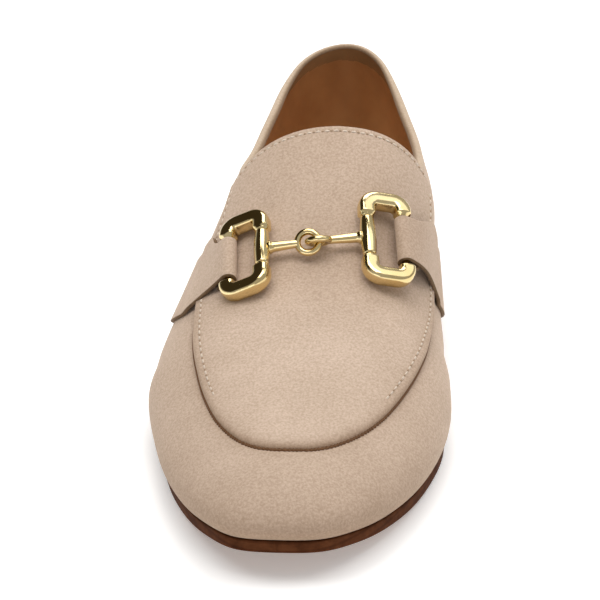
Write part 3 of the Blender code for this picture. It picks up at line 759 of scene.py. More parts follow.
def upper_tops():
    """Share at which each rib of both sides ends."""
    tops = {}
    for side in SIDES:
        tops[side] = np.array([1.0 if place >= THROAT else top_share(side, place) for place in UPPER_PLACES])
    return tops


def seam_puff(side, place, share):
    """How far the vamp swells beside the apron's seam, most at the toe."""
    edge = apron_share(side, place)
    outside = np.clip(edge - share, 0.0, 1.0) * SIDE_LENGTH
    toe = rising(place, 0.62, 0.25)
    swell = SEAM_PUFF * toe * np.exp(-((outside - SEAM_PUFF_INSET) / SEAM_PUFF_WIDTH) ** 2)
    return np.where(share < edge, swell, 0.0)


def strap_place(side, rise, across):
    """Place along the outline where a strap lies, for a share of its way up the side and across its width."""
    edges = STRAP[side]
    foot = edges.sole_back + (edges.sole_front - edges.sole_back) * across
    top = edges.top_back + (edges.top_front - edges.top_back) * across
    return top + (foot - top) * (1.0 - rise) ** STRAP_SWEEP


def quarter_swell(side, place, share):
    """How far the lower side of the upper swells beside the heel."""
    along = rising(place, 0.12, 0.08) * (1.0 - rising(place, 0.31, 0.07))
    return SWELL[side] * along * np.exp(-((share - 0.13) / 0.075) ** 2)


def creases(side, place, share):
    """Depth of the listed soft troughs, and height of the ridges, at places of one side."""
    lift = np.zeros(np.shape(share))
    for row in CREASES:
        if row.side in (side, BOTH):
            along = (place - row.place) * OUTLINE_LENGTH
            up = (share - row.share) * RIB_LENGTH
            turn = math.radians(row.turn)
            length = (along * math.cos(turn) + up * math.sin(turn)) / row.half_length
            width = (up * math.cos(turn) - along * math.sin(turn)) / row.half_width
            lift = lift + row.height * np.exp(-length ** 2 - width ** 2)
    return lift


def upper_grid(side, tops):
    """Grid of the last under one side of the upper, a row for each place, with normals, places and shares."""
    shares = tops[side][:, None] * np.linspace(0.0, 1.0, UPPER_ROWS)[None, :]
    places = np.broadcast_to(UPPER_PLACES[:, None], shares.shape)
    return last_point(side, places, shares), last_normal(side, places, shares), places, shares


def upper_skin(tops, lift, puffed):
    """Both sides of a skin of the upper, met along heel, toe and ridge."""
    grids = {}
    normals = {}
    puffs = {}
    for side in SIDES:
        grids[side], normals[side], places, shares = upper_grid(side, tops)
        puffs[side] = np.zeros(shares.shape)
        if puffed:
            puffs[side] = seam_puff(side, places, shares) + quarter_swell(side, places, shares)
            puffs[side] += creases(side, places, shares)
    over = UPPER_PLACES >= THROAT
    for field in (grids, normals, puffs):
        for rib in (0, -1):
            middle = (field[LATERAL][rib] + field[MEDIAL][rib]) / 2.0
            field[LATERAL][rib] = middle
            field[MEDIAL][rib] = middle
        middle = (field[LATERAL][over, -1] + field[MEDIAL][over, -1]) / 2.0
        field[LATERAL][over, -1] = middle
        field[MEDIAL][over, -1] = middle
    skins = []
    for side in SIDES:
        skin = grids[side] + unit(normals[side]) * (lift + puffs[side])[..., None]
        skins.append(skin if side == LATERAL else skin[:, ::-1])
    return skins


def upper_painted_shade(side, tops):
    """Painted shade on one side of the upper: darker along the sole, most at the toe, and beside the apron's
    seam.
    """
    points, normals, places, shares = upper_grid(side, tops)
    steps = np.linalg.norm(np.diff(points, axis=1), axis=-1)
    height = np.pad(np.cumsum(steps, axis=1), [(0, 0), (1, 0)])
    toe = rising(places, 0.55, 0.3)
    sole = (SOLE_SHADE + SOLE_SHADE_AT_TOE * toe) * np.exp(-(height / (SOLE_SHADE_REACH * (1.0 + 1.25 * toe))))
    edge = apron_share(side, places)
    rib = height[:, -1:] / tops[side][:, None]
    outside = (edge - shares) * rib
    seam = np.where(outside > -0.001, SEAM_SHADE * np.exp(-np.clip(outside, 0.0, None) / SEAM_SHADE_REACH), 0.0)
    seam = seam * rising(places, 0.46, 0.06)
    return np.clip(sole + seam, 0.0, 1.0)


def build_upper(suede, lining, shade_band, lit_bead_suede):
    """Suede skin with painted shade, brown lining whose darker top strip is painted shade, and the rolled
    collar edge between them, of a lighter suede for painted light with painted shade on its inner side.
    """
    tops = upper_tops()
    outer = upper_skin(tops, 0.0, True)
    rows, columns = outer[0].shape[:2]
    points = np.concatenate(outer).reshape(-1, 3)
    faces = grid_faces(rows, columns) + grid_faces(rows, columns, rows * columns)
    # Painted shade along the sole and beside the apron's seam
    painted_shading = np.concatenate([upper_painted_shade(LATERAL, tops), upper_painted_shade(MEDIAL, tops)[:, ::-1]])
    make_piece("upper_suede", points, faces, [suede], ["upper"], weld=True, tones=shading_tone(painted_shading))

    inner = upper_skin(tops, -UPPER_WALL, False)
    marks = []
    for skin, flip in ((inner[0], False), (inner[1], True)):
        depth = np.linalg.norm(skin - (skin[:, :1] if flip else skin[:, -1:]), axis=-1)
        # Faces of the lining's top strip take the darker copy: painted shade under the collar's edge
        inside = (depth[:-1, :-1] < LINING_SHADE_BAND) & (UPPER_PLACES[:-1, None] < THROAT)
        marks.append(inside.astype(int).reshape(-1))
    points = np.concatenate(inner).reshape(-1, 3)
    make_piece("upper_lining", points, faces, [lining, shade_band],
               face_slots=np.concatenate(marks), weld=True)

    line = []
    ups = []
    heels = []
    for side, order in ((LATERAL, -1), (MEDIAL, 1)):
        places = UPPER_PLACES[UPPER_PLACES <= THROAT][::order]
        side_tops = tops[side][UPPER_PLACES <= THROAT][::order]
        normal = last_normal(side, places, np.minimum(side_tops, 0.985))
        line.append(last_point(side, places, side_tops) - normal * COLLAR_INSET)
        ups.append(normal)
        heels.append(1.0 - rising(places, 0.05, 0.12))
    path = np.vstack([line[0], line[1][1:-1]])
    up = np.vstack([ups[0], ups[1][1:-1]])
    heel = np.concatenate([heels[0], heels[1][1:-1]])
    radii = COLLAR_BEAD_RADIUS * (1.0 - 0.35 * heel)
    path = path + up * (COLLAR_BEAD_RADIUS - radii)[:, None]
    sides = 18
    points, faces = sweep(path, radii, up, sides, True, 0.92)
    # Painted shade on the bead's inner side
    inward = smoothstep(0.2 - 1.1 * np.cos(around(sides)))
    painted_shading = np.tile(0.8 * inward, len(path))
    make_piece("collar_edge", points, faces, [lit_bead_suede], tones=shading_tone(painted_shading))


# Apron


def tongue_place(side, share):
    """Place along the outline of the tongue's top edge, for a share of the way from ridge to apron's edge."""
    return TONGUE_TOP - TONGUE_FALL[side] * share ** 1.7 + TONGUE_CORNER * share ** 8


def apron_params():
    """Place and share of every apron grid point on each side, from the ridge outward."""
    across = 1.0 - (1.0 - np.linspace(0.0, 1.0, APRON_HALF_COLUMNS + 1)) ** 1.7
    along = np.linspace(0.0, 1.0, APRON_ROWS + 1)
    along = along + 0.06 * np.sin(2.0 * math.pi * along) / (2.0 * math.pi) - 0.25 * (along - along ** 1.5)
    params = {}
    for side in SIDES:
        start = tongue_place(side, across)[None, :]
        places = start + (1.0 - start) * along[:, None]
        shares = 1.0 - across[None, :] * (1.0 - apron_share(side, places))
        params[side] = (places, shares)
    return params


def both_halves(fields):
    """Lateral and medial halves of a field joined across the ridge, with the toe row folded onto itself."""
    middle = (fields[LATERAL][:, :1] + fields[MEDIAL][:, :1]) / 2.0
    grid = np.concatenate([fields[LATERAL][:, :0:-1], middle, fields[MEDIAL][:, 1:]], axis=1)
    half = fields[LATERAL].shape[1] - 1
    last = (grid[-1, :half] + grid[-1, :half:-1]) / 2.0
    grid[-1, :half] = last
    grid[-1, half + 1:] = last[::-1]
    return grid


def run_lengths(points, axis):
    """Distance along a grid's lines from their last point, along an axis."""
    steps = np.linalg.norm(np.diff(points, axis=axis), axis=-1)
    steps = np.flip(np.cumsum(np.flip(steps, axis=axis), axis=axis), axis=axis)
    pad = [(0, 0), (0, 0)]
    pad[axis] = (0, 1)
    return np.pad(steps, pad)


def quarter_round(distance, radius):
    """Height share of a rounded edge, 0 at the edge and 1 one radius in."""
    inward = np.clip(distance / radius, 0.0, 1.0)
    return np.sqrt(np.clip(1.0 - (1.0 - inward) ** 2, 0.0, 1.0))


def apron_surface(params):
    """Apron grids: skin points, normals, and distances from the side edge and from the tongue's top edge."""
    points = {side: last_point(side, *params[side]) for side in params}
    normals = {side: last_normal(side, *params[side]) for side in params}
    edge = {side: run_lengths(points[side], 1) for side in params}
    whole = {side: run_lengths(points[side], 0) for side in params}
    tongue = {side: whole[side][:1] - whole[side] for side in params}
    soft = both_halves({side: creases(side, *params[side]) for side in params})
    normal = unit(both_halves(normals))
    grid = both_halves(points) + normal * soft[..., None]
    return grid, normal, both_halves(edge), both_halves(tongue)


def wing_thinning(side, place):
    """How much thinner the apron lies toward the tongue than over the toe."""
    return WING_THINNING[side] * (1.0 - rising(place, 0.42, 0.08))


def build_apron(suede, lining):
    """Apron and tongue: a sheet whose edge rolls down into the seam and is finer along the tongue, with
    painted shade at the edge and in the middle and painted light toward the toe.
    """
    params = apron_params()
    points, normals, from_edge, from_top = apron_surface(params)
    toe = both_halves({side: params[side][0] for side in SIDES})
    free = smoothstep((THROAT + 0.02 - toe) / 0.06)
    round_edge = APRON_EDGE_ROUND * (0.45 + 0.55 * rising(toe, 0.62, 0.25))
    rolled = quarter_round(from_edge, round_edge)
    top = SKIN_GAP + 0.00012 + APRON_THICKNESS * (rolled + (1.0 - rolled) * 0.35 * free)
    half = APRON_HALF_COLUMNS
    across = np.abs(np.linspace(-1.0, 1.0, 2 * half + 1))
    top[:, :half] -= across[:half] * wing_thinning(LATERAL, toe[:, :half])
    top[:, half:] -= across[half:] * wing_thinning(MEDIAL, toe[:, half:])
    tip = quarter_round(from_top, 0.0007)
    sewn = 1.0 - smoothstep((toe - STITCH_END[LATERAL] + 0.02) / 0.03)
    stitched = STITCH_SINK * (sewn * np.exp(-((from_edge - STITCH_INSET) / STITCH_SINK_WIDTH) ** 2)
                              + np.exp(-((from_top - TONGUE_INSET) / STITCH_SINK_WIDTH) ** 2))
    top = SKIN_GAP + (top - SKIN_GAP) * (0.45 + 0.55 * tip) - stitched
    low = np.full_like(top, SKIN_GAP * 0.6)
    over = points + normals * top[..., None]
    under = points + normals * low[..., None]
    # Painted shade where the edge rolls down into the seam, deeper toward the toe
    painted_shading = (0.25 + 0.45 * rising(toe, 0.46, 0.12)) * np.exp(-from_edge / 0.0015)
    # Painted light away from the edge toward the toe, and an even darkening of the whole apron
    painted_shading = painted_shading - APRON_PAINTED_LIGHT * rising(toe, 0.56, 0.14) * (1.0 - np.exp(-from_edge / 0.006)) + APRON_EVEN_DARKENING
    # Painted shade in the apron's middle
    middle = np.exp(-((toe - 0.60) / 0.05) ** 2) * rising(from_edge, 0.008, 0.02)
    painted_shading = painted_shading + APRON_MIDDLE_SHADE * middle
    painted_shading = np.concatenate([painted_shading, painted_shading])
    vertices, faces, marks = slab(over, under, folded=True)
    make_piece("apron_suede", vertices, faces, [suede, lining, suede], ["apron"], marks, weld=True,
               tones=shading_tone(painted_shading))


def beside_edge(side, places, inset):
    """Points of the last an inset inside the apron's side edge, and its normals there."""
    edge = apron_share(side, places)
    step = last_point(side, places, edge + RIB_STEP) - last_point(side, places, edge)
    shares = np.minimum(edge + inset / (np.linalg.norm(step, axis=-1) / RIB_STEP), 1.0)
    return last_point(side, places, shares), last_normal(side, places, shares)


def stitches(line, normals, length, shift):
    """A row of short rounded stitches along a line, moved along it by a shift."""
    run = run_along(line)
    parts = []
    ends = np.array([0.35, 0.85, 1.0, 0.85, 0.35])
    dips = np.array([-1.0, 0.15, 0.5, 0.15, -1.0])
    for start in np.arange(STITCH_PITCH / 2.0 + shift, run[-1] - STITCH_PITCH, STITCH_PITCH):
        at = start + length * np.linspace(0.0, 1.0, 5)
        ups = read_off(at, run, normals)
        points = read_off(at, run, line) + unit(ups) * (dips * STITCH_RADIUS)[:, None]
        parts.append(sweep(points, ends * STITCH_RADIUS, ups, 6, False))
    return joined(parts)


def build_apron_sewing(thread, hole_shade, seam):
    """Stitch rows with darker dashes of painted shade at their holes, along the apron and the tongue, and a
    dark tube of painted shade in the seam's crevice, gathered at the toe.
    """
    rows = []
    gap = STITCH_PITCH - STITCH_LENGTH
    hole_shift = STITCH_LENGTH + (gap - HOLE_LENGTH) / 2.0
    lift = SKIN_GAP + APRON_THICKNESS - 0.00002
    for side in SIDES:
        places = np.linspace(tongue_place(side, np.array(TONGUE_ROW_END)) + 0.012, STITCH_END[side], 700)
        points, normals = beside_edge(side, places, STITCH_INSET)
        rows.append((points + normals * (lift - wing_thinning(side, places))[:, None], normals))
    across = np.linspace(-TONGUE_ROW_END, TONGUE_ROW_END, 600)
    line = []
    ups = []
    for value in across:
        side = LATERAL if value < 0.0 else MEDIAL
        place = tongue_place(side, abs(value)) + TONGUE_INSET / OUTLINE_LENGTH
        share = 1.0 - abs(value) * (1.0 - apron_share(side, place))
        normal = last_normal(side, place, share)
        height = lift - abs(value) * wing_thinning(side, place)
        line.append(last_point(side, place, share) + normal * height)
        ups.append(normal)
    rows.append((np.array(line), np.array(ups)))
    # Between the stitches, short darker dashes stand for the holes: painted shade
    kinds = (("apron_stitches", thread, STITCH_LENGTH, 0.0), ("apron_hole_shades", hole_shade, HOLE_LENGTH, hole_shift))
    for name, material, length, shift in kinds:
        points, faces = joined([stitches(*row, length, shift) for row in rows])
        make_piece(name, points, faces, [material])

    # A dark tube in the crevice between the apron's edge and the vamp: painted shade of the seam
    lateral, lateral_normals = beside_edge(LATERAL, np.linspace(0.44, 1.0, 900), -0.0001)
    medial, medial_normals = beside_edge(MEDIAL, np.linspace(0.42, 1.0, 900), -0.0001)
    normals = np.vstack([lateral_normals, medial_normals[::-1]])
    line = np.vstack([lateral, medial[::-1]]) + normals * SKIN_GAP * 0.7
    keep = resample(line, SEAM_STEP)
    whole = run_along(line)
    ups = read_off(np.linspace(0.0, whole[-1], len(keep)), whole, normals)
    run = np.arange(len(keep)) * SEAM_STEP
    toe = smoothstep((GATHER_START - keep[:, 1]) / GATHER_GROWTH)
    gather = 1.0 + GATHER_DEPTH * toe * np.sin(2.0 * math.pi * run / GATHER_PITCH + 1.2 * np.sin(run * 900.0))
    points, faces = sweep(keep, SEAM_RADIUS * gather, ups, 8, False, 0.8)
    make_piece("apron_seam_shade", points, faces, [seam])


# Bit


RingFrame = namedtuple("RingFrame", "inner outer along across up")


def ring_frame(side):
    """Middles of a ring's inner and outer bars, and the ring's directions: along the bars, outward and up."""
    place = BIT[side]
    inner = lifted(side, place.inner_place, place.inner_share, RING_LIFT)
    outer = lifted(side, place.outer_place, place.outer_share, RING_OUTER_LIFT[side])
    up = last_normal(side, place.inner_place, place.inner_share)
    up = unit(up + last_normal(side, place.outer_place, place.outer_share))
    across = unit(outer - inner)
    outer = inner + across * RING_REACH
    up = unit(up - across * np.dot(up, across))
    along = np.cross(up, across) * side
    return RingFrame(inner, outer, along, across, up)


def corner_arc(centre_along, centre_out, start, stop):
    """Points of a ring's corner in its own plane."""
    turns = np.radians(np.linspace(start, stop, 13))
    return [(centre_along + RING_CORNER * math.cos(turn), centre_out + RING_CORNER * math.sin(turn))
            for turn in turns]


def build_ring(side, name, gold, node):
    """Ring of the bit: a rounded rectangle of soft square bar, thin and round in sleeve and strap."""
    frame = ring_frame(side)
    straight = RING_HALF_LENGTH - RING_CORNER
    loop = [(0.0, 0.0)] + corner_arc(straight, RING_CORNER, -90.0, 0.0)
    loop += corner_arc(straight, RING_REACH - RING_CORNER, 0.0, 90.0)
    loop += [(0.0, RING_REACH)]
    loop += [(-along, out) for along, out in loop[-2:0:-1]]
    flat = resample(np.array([(along, out, 0.0) for along, out in loop]), RING_STEP, closed=True)
    reach = np.abs(flat[:, 0])
    inner_side = flat[:, 1] < RING_REACH / 2.0
    sleeve_end = SLEEVE_HALF + 0.0002
    neck = RING_BAR_RADIUS * RING_NECK
    at_sleeve = neck + (RING_BAR_RADIUS - neck) * rising(reach, sleeve_end, 0.0016)
    at_sleeve = np.where(reach < sleeve_end, RING_SLEEVE_CORE, at_sleeve)
    strap_end = STRAP_RING_HALF_WIDTH + 0.0003
    at_strap = RING_STRAP_CORE + (RING_BAR_RADIUS - RING_STRAP_CORE) * rising(reach, strap_end, 0.0022)
    radii = np.where(inner_side, at_sleeve, at_strap)
    squareness = 0.75 * smoothstep((radii - neck) / (RING_BAR_RADIUS - neck))
    line = frame.inner + flat[:, :1] * frame.along + flat[:, 1:2] * frame.across
    points, faces = sweep(line, radii, frame.up, 40, True, squareness=squareness)
    make_piece(name, points, faces, [gold], [node])


def eye_centres():
    """Centres of the lateral and the medial link's eyes over the ridge, and the direction up."""
    ridge = last_point(LATERAL, EYE_PLACE, 1.0)
    up = unit(last_normal(LATERAL, EYE_PLACE, 0.98) + last_normal(MEDIAL, EYE_PLACE, 0.98))
    toward = unit(ring_frame(MEDIAL).inner - ring_frame(LATERAL).inner)
    toward = unit(toward - up * np.dot(toward, up))
    middle = ridge + up * EYE_LIFT - toward * EYE_SHIFT
    return middle - toward * EYE_SPACING / 2.0, middle + toward * EYE_SPACING / 2.0, up


def build_link(side, name, gold, node):
    """Link of the bit: a barrel-shaped sleeve, a tapered rod out of its middle and an eye."""
    frame = ring_frame(side)
    stations = np.linspace(-1.0, 1.0, 61)
    radii = SLEEVE_END_RADIUS + (SLEEVE_BELLY_RADIUS - SLEEVE_END_RADIUS) * (1.0 - stations ** 2)
    shoulder = quarter_round((1.0 - np.abs(stations)) * SLEEVE_HALF, 0.0006)
    radii = RING_SLEEVE_CORE + (radii - RING_SLEEVE_CORE) * (0.35 + 0.65 * shoulder)
    line = [frame.inner + frame.along * station * SLEEVE_HALF for station in stations]
    parts = [sweep(line, radii, frame.up, 32, False)]
    lateral_eye, medial_eye, up = eye_centres()
    centre = lateral_eye if side == LATERAL else medial_eye
    toward = unit(centre - frame.inner)
    start = frame.inner + toward * (SLEEVE_BELLY_RADIUS - 0.0010)
    end = centre - toward * EYE_RADIUS
    share = np.linspace(0.0, 1.0, 41)
    line = start + (end - start) * share[:, None]
    taper = ROD_RADIUS_AT_SLEEVE + (ROD_RADIUS_AT_EYE - ROD_RADIUS_AT_SLEEVE) * share
    length = np.linalg.norm(end - start)
    flare = 0.0005 * np.exp(-((share * length - 0.0010) / 0.0006) ** 2)
    parts.append(sweep(line, taper + flare, frame.up, 24, False))
    fore = unit(np.cross(up, medial_eye - lateral_eye))
    lean = math.radians(EYE_LEAN if side == LATERAL else EYE_LEAN + 90.0)
    other = fore * math.cos(lean) + up * math.sin(lean)
    loop = [centre + EYE_RADIUS * (toward * math.cos(turn) + other * math.sin(turn)) for turn in around(64)]
    parts.append(sweep(loop, EYE_WIRE_RADIUS, np.cross(toward, other), 20, True))
    points, faces = joined(parts)
    make_piece(name, points, faces, [gold], [node])


# Straps


def strap_line(side, across):
    """Line of the strap's inner face from the sole, up the side and round the ring's outer bar."""
    frame = ring_frame(side)
    tuck = float(apron_share(side, strap_place(side, 1.0, across))) - STRAP_TUCK_SHARE
    shares = np.linspace(STRAP_FOOT_SHARE, tuck, 22)
    rise = (shares - shares[0]) / (shares[-1] - shares[0])
    places = strap_place(side, rise, across)
    lifts = STRAP_LIFT + (STRAP_TUCK_LIFT - STRAP_LIFT) * rising(rise, 0.80, 0.20)
    side_points = lifted(side, places, shares, lifts)
    radius = RING_STRAP_CORE + SEAT_GAP
    bar = frame.outer + frame.along * (1.0 - 2.0 * across) * STRAP_RING_HALF_WIDTH
    turns = np.radians(np.linspace(-WRAP_START, 180.0, 30))
    wrap = bar + radius * (frame.up * np.cos(turns)[:, None] - frame.across * np.sin(turns)[:, None])
    start = side_points[-1]
    end = wrap[0]
    leave = unit(side_points[-1] - side_points[-2])
    slope = math.radians(WRAP_START)
    arrive = unit(-frame.across * math.cos(slope) + frame.up * math.sin(slope))
    span = np.linalg.norm(end - start)
    part = np.linspace(0.0, 1.0, 18)[1:-1, None]
    bridge = blend(part, start, leave * span, end, arrive * span)
    tail = wrap[-1] + frame.across * STRAP_RETURN * np.linspace(0.15, 1.0, 8)[:, None]
    return np.vstack([side_points, bridge, wrap, tail])


def build_strap(side, name, suede, cut_edge, node):
    """Half of the saddle strap, with its dark cut edges and painted shade over its suede, heavier on the
    medial side.
    """
    across = np.linspace(0.0, 1.0, STRAP_LINES)
    inner = np.array([strap_line(side, value) for value in across])
    along = np.gradient(inner, axis=1)
    sideways = np.gradient(inner, axis=0)
    normal = unit(np.cross(sideways, along) * -side)
    outer = inner + normal * STRAP_THICKNESS
    points, faces, marks = slab(outer, inner)
    make_piece(name, points, faces, [suede, cut_edge, cut_edge], [node], marks,
               tones=shading_tone(np.full(len(points), STRAP_SHADE[side])))


# Bottom


def outline(side, places, margin):
    """Points of the sole's outline in plan, a margin outside the feather line."""
    at, out, shape, outward_x, outward_along = rib_values(side, places)
    x = side * out * BALL_HALF_WIDTH + margin * outward_x
    along = at * SHOE_LENGTH + margin * outward_along
    return x, along


def layer(name, places, bottom, top, margin, low_margin, rounding, materials, slot, node, hollow=0.0):
    """Layer of the bottom with rounded edges: cap, rounded top edge, side, rounded bottom edge and cap."""
    turns = np.radians(np.linspace(90.0, 0.0, 5))
    pulls = rounding * (1.0 - np.cos(turns))
    drops = rounding * (1.0 - np.sin(turns))
    levels = [(top, margin - pull, -drop) for pull, drop in zip(pulls, drops)]
    levels += [(bottom, low_margin - pull, drop) for pull, drop in zip(pulls[::-1], drops[::-1])]
    share = np.linspace(0.0, 1.0, 15)
    part = share[1:-1] if hollow else share[:0]
    rows = []
    for level, spread, offset in levels:
        lateral_x, lateral_along = outline(LATERAL, places, spread)
        medial_x, medial_along = outline(MEDIAL, places, spread)
        breast_x = lateral_x[-1] + (medial_x[-1] - lateral_x[-1]) * part
        breast = lateral_along[-1] + (medial_along[-1] - lateral_along[-1]) * part
        breast = breast - hollow * 4.0 * part * (1.0 - part)
        x = np.concatenate([lateral_x, breast_x, medial_x[::-1]])
        along = np.concatenate([lateral_along, breast, medial_along[::-1]])
        height = level(along / SHOE_LENGTH) + offset
        rows.append(np.stack([x, HEEL_CENTRE - along, height], axis=-1))
    wall = np.array(rows)
    count = wall.shape[1]
    faces = grid_faces(len(rows), count, 0, closed_columns=True)
    marks = [0] * len(faces)
    points = [wall.reshape(-1, 3)]
    number = len(rows) * count
    size = len(places)
    for loop, level, flip in ((wall[0], top, False), (wall[-1], bottom, True)):
        lateral = loop[:size]
        medial = loop[:-size - 1:-1]
        cap = lateral[:, None, :] + (medial - lateral)[:, None, :] * share[None, :, None]
        if hollow:
            cap[-1] = loop[size - 1:size - 1 + len(share)]
        cap[..., 2] = level((HEEL_CENTRE - cap[..., 1]) / SHOE_LENGTH)
        cap_faces = grid_faces(size, len(share), number)
        if flip:
            cap_faces = [tuple(reversed(face)) for face in cap_faces]
        faces += cap_faces
        marks += [1 if flip else 0] * len(cap_faces)
        points.append(cap.reshape(-1, 3))
        number += size * len(share)
    make_piece(name, np.vstack(points), faces, materials, [node], marks, weld=True)


def outsole_top(station):
    """Height over the floor of the outsole's upper face."""
    return sole_under(station) + OUTSOLE_THICKNESS


def insole_top(station):
    """Height over the floor of the insole's upper face."""
    return feather_height(station) + INSOLE_THICKNESS


def level_at(height):
    """Height function of a level layer."""
    return lambda station: np.full_like(station, height)


def build_bottom(edge, tread, stack, rubber, footbed):
    """Outsole, heel block, top lift and insole."""
    whole = (1.0 - np.cos(np.linspace(0.0, math.pi, 181))) / 2.0
    whole = 0.35 * whole + 0.65 * np.linspace(0.0, 1.0, 181)
    layer("outsole_leather", whole, sole_under, outsole_top, SOLE_MARGIN, SOLE_MARGIN, 0.0007, [edge, tread],
          "sole_leather", "outsole")
    inset = -(UPPER_WALL + 0.0003)
    layer("insole_leather", whole, feather_height, insole_top, inset, inset, 0.0008, [footbed, footbed],
          "lining_leather", "insole")
    last = np.interp(HEEL_BREAST, SOFT[LATERAL][1][0], SOFT[LATERAL][0])
    heel = last * np.linspace(0.0, 1.0, 61) ** 1.15
    block_bottom = TOP_LIFT_THICKNESS + SEAT_GAP
    block_top = block_bottom + HEEL_BLOCK_HEIGHT
    floor_margin = SOLE_MARGIN - HEEL_TAPER
    seam_margin = floor_margin + HEEL_TAPER * TOP_LIFT_THICKNESS / block_top
    layer("heel_block_leather", heel, level_at(block_bottom), level_at(block_top), SOLE_MARGIN, seam_margin,
          0.0003, [stack, stack], "sole_leather", "heel_block", BREAST_HOLLOW)
    layer("heel_lift_rubber", heel, level_at(0.0), level_at(TOP_LIFT_THICKNESS), seam_margin, floor_margin,
          0.0004, [rubber, rubber], "lift_rubber", "heel_lift", BREAST_HOLLOW)


# Stage


CAMERA_ELEVATION = 27.3
CAMERA_AZIMUTH = 6.0
CAMERA_DISTANCE = 1.19
CAMERA_ROLL = -1.4
CAMERA_TARGET = (0.0, -0.10, 0.03)
LIGHT_TARGET = (0.0, -0.10, 0.03)
FOCAL_PIXELS = 2150.0
FRAME_PIXELS = 600.0
AIM_OFFSET = (-8.8, -4.1)
ENLARGE = 1.72


def add_camera():
    """Camera at the photograph's place, direction and roll, turned and zoomed to frame the one shoe."""
    elevation = math.radians(CAMERA_ELEVATION)
    azimuth = math.radians(CAMERA_AZIMUTH)
    back = np.array([math.sin(azimuth) * math.cos(elevation), -math.cos(azimuth) * math.cos(elevation),
                     math.sin(elevation)])
    place = np.array(CAMERA_TARGET) + back * CAMERA_DISTANCE
    right = unit(np.cross(-back, [0.0, 0.0, 1.0]))
    up = np.cross(right, -back)
    roll = math.radians(CAMERA_ROLL)
    right, up = right * math.cos(roll) + up * math.sin(roll), up * math.cos(roll) - right * math.sin(roll)
    ahead = unit(-back + right * AIM_OFFSET[0] / FOCAL_PIXELS + up * AIM_OFFSET[1] / FOCAL_PIXELS)
    right = unit(np.cross(ahead, up))
    up = np.cross(right, ahead)
    data = bpy.data.cameras.new("camera")
    data.sensor_width = 36.0
    data.lens = FOCAL_PIXELS * ENLARGE * 36.0 / FRAME_PIXELS
    data.clip_end = 20.0
    camera = bpy.data.objects.new("camera", data)
    turn = Matrix((right, up, -ahead)).transposed().to_4x4()
    camera.matrix_world = Matrix.Translation(Vector(place)) @ turn
    bpy.context.scene.collection.objects.link(camera)
    bpy.context.scene.camera = camera


def add_area_light(name, place, size, power, colour=(1.0, 1.0, 1.0)):
    """Soft square light at a place, aimed at the shoe."""
    data = bpy.data.lights.new(name, "AREA")
    data.shape = "RECTANGLE"
    data.size = size[0]
    data.size_y = size[1]
    data.energy = power
    data.color = colour
    light = bpy.data.objects.new(name, data)
    direction = Vector(LIGHT_TARGET) - Vector(place)
    light.location = place
    light.rotation_euler = direction.to_track_quat("-Z", "Y").to_euler()
    bpy.context.scene.collection.objects.link(light)
    return light


def add_stage():
    """Plain pale floor, soft lights and the surroundings."""
    size = 6.0
    mesh = bpy.data.meshes.new("floor")
    mesh.from_pydata([(-size, -size, 0.0), (size, -size, 0.0), (size, size, 0.0), (-size, size, 0.0)], [],
                     [(0, 1, 2, 3)])
    material, tree, shader, place = new_material("floor", FLOOR_COLOUR, 0.9)
    set_inputs(shader, {"Specular IOR Level": 0.1, "Emission Color": FLOOR_COLOUR, "Emission Strength": 0.25})
    mesh.materials.append(material)
    floor = bpy.data.objects.new("floor", mesh)
    floor.location = (0.0, 0.0, -0.0003)
    bpy.context.scene.collection.objects.link(floor)
    add_area_light("overhead", (0.10, -0.15, 1.30), (0.75, 0.9), 7.5, (1.0, 0.98, 0.955))
    add_area_light("back", (0.0, 0.75, 1.10), (0.8, 0.6), 5.0)
    add_area_light("front", (-0.15, -1.25, 0.14), (0.7, 0.3), 0.9)
    add_area_light("card", (0.72, 0.15, 1.05), (0.7, 0.9), 2.0)
    fill = add_area_light("fill", (-0.55, -0.15, 1.15), (0.6, 0.8), 5.0, (0.98, 0.99, 1.0))
    fill.visible_glossy = False
    add_world()


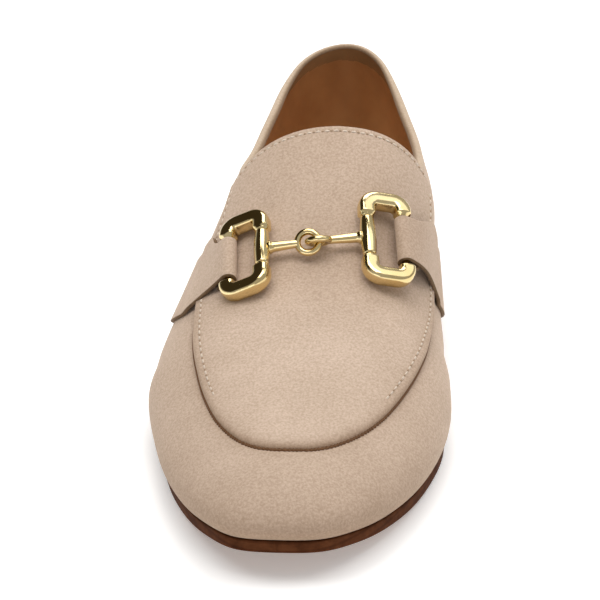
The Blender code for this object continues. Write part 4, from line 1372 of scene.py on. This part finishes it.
def add_world():
    """White surroundings with one dark wall high up on the lateral side, for the metal to reflect."""
    world = bpy.context.scene.world or bpy.data.worlds.new("world")
    bpy.context.scene.world = world
    world.use_nodes = True
    tree = world.node_tree
    direction = tree.nodes.new("ShaderNodeTexCoord").outputs["Generated"]
    toward_wall = tree.nodes.new("ShaderNodeVectorMath")
    toward_wall.operation = "DOT_PRODUCT"
    toward_wall.inputs[1].default_value = (-0.80, 0.35, 0.48)
    tree.links.new(direction, toward_wall.inputs[0])
    wall = ramp(tree, toward_wall.outputs["Value"], [(0.35, BLACK), (0.62, WHITE)])
    parts = tree.nodes.new("ShaderNodeSeparateXYZ")
    tree.links.new(direction, parts.inputs[0])
    high = ramp(tree, parts.outputs["Z"], [(0.12, BLACK), (0.30, WHITE)])
    share = mixed(tree, "MULTIPLY", 1.0, wall, high)
    colour = mixed(tree, "MIX", share, WHITE, DARK_WALL)
    background = tree.nodes["Background"]
    tree.links.new(colour, background.inputs["Color"])
    background.inputs["Strength"].default_value = 0.45


def build_scene():
    """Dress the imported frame."""
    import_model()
    bpy.context.scene.view_settings.view_transform = "Standard"
    add_camera()
    add_stage()
    suede = suede_material("suede", srgb(205, 183, 164), srgb(182, 159, 139))
    # Lighter copy of the suede for the collar's rolled edge: painted light
    lit_rim_suede = suede_material("lit_rim_suede", srgb(206, 186, 164), srgb(190, 168, 145))
    lining = leather_material("lining", srgb(198, 146, 94), srgb(174, 122, 74), 0.38, 0.5)
    # Darker, matte copy of the lining for its top strip: painted shade
    shade_band = leather_material("lining_shade_band", srgb(168, 128, 84), srgb(146, 110, 70), 0.7, 0.0)
    # Dark brown for the seam's crevice: painted shade
    seam = plain_material("seam", srgb(112, 78, 50), 0.9, 900.0, 0.0001)
    cut_edge = plain_material("cut_edge", srgb(116, 92, 66), 0.9, 800.0, 0.00012)
    thread = plain_material("thread", srgb(226, 210, 192), 0.8, 2500.0, 0.00004)
    # Darker suede colour for the stitch holes: painted shade
    hole_shade = plain_material("stitch_hole_shade", srgb(182, 157, 132), 0.95, 2500.0, 0.00004)
    sole_edge = stacked_material("sole_edge", srgb(98, 58, 34), srgb(84, 47, 26), 0.0030, 0.6)
    tread = leather_material("sole_tread", srgb(150, 108, 72), srgb(122, 84, 54), 0.6, 0.05, 500.0)
    stack = stacked_material("heel_stack", srgb(88, 54, 32), srgb(48, 28, 17), 0.0028, 0.42)
    rubber = plain_material("lift_rubber", srgb(44, 34, 28), 0.75, 700.0, 0.00008)
    gold = gold_material()
    build_upper(suede, lining, shade_band, lit_rim_suede)
    build_apron(suede, lining)
    build_apron_sewing(thread, hole_shade, seam)
    for side, label in ((LATERAL, "lateral"), (MEDIAL, "medial")):
        build_strap(side, "strap_suede_" + label, suede, cut_edge, "saddle_strap_" + label)
        build_ring(side, "ring_gold_" + label, gold, "bit_ring_" + label)
        build_link(side, "link_gold_" + label, gold, "bit_link_" + label)
    build_bottom(sole_edge, tread, stack, rubber, lining)


build_scene()
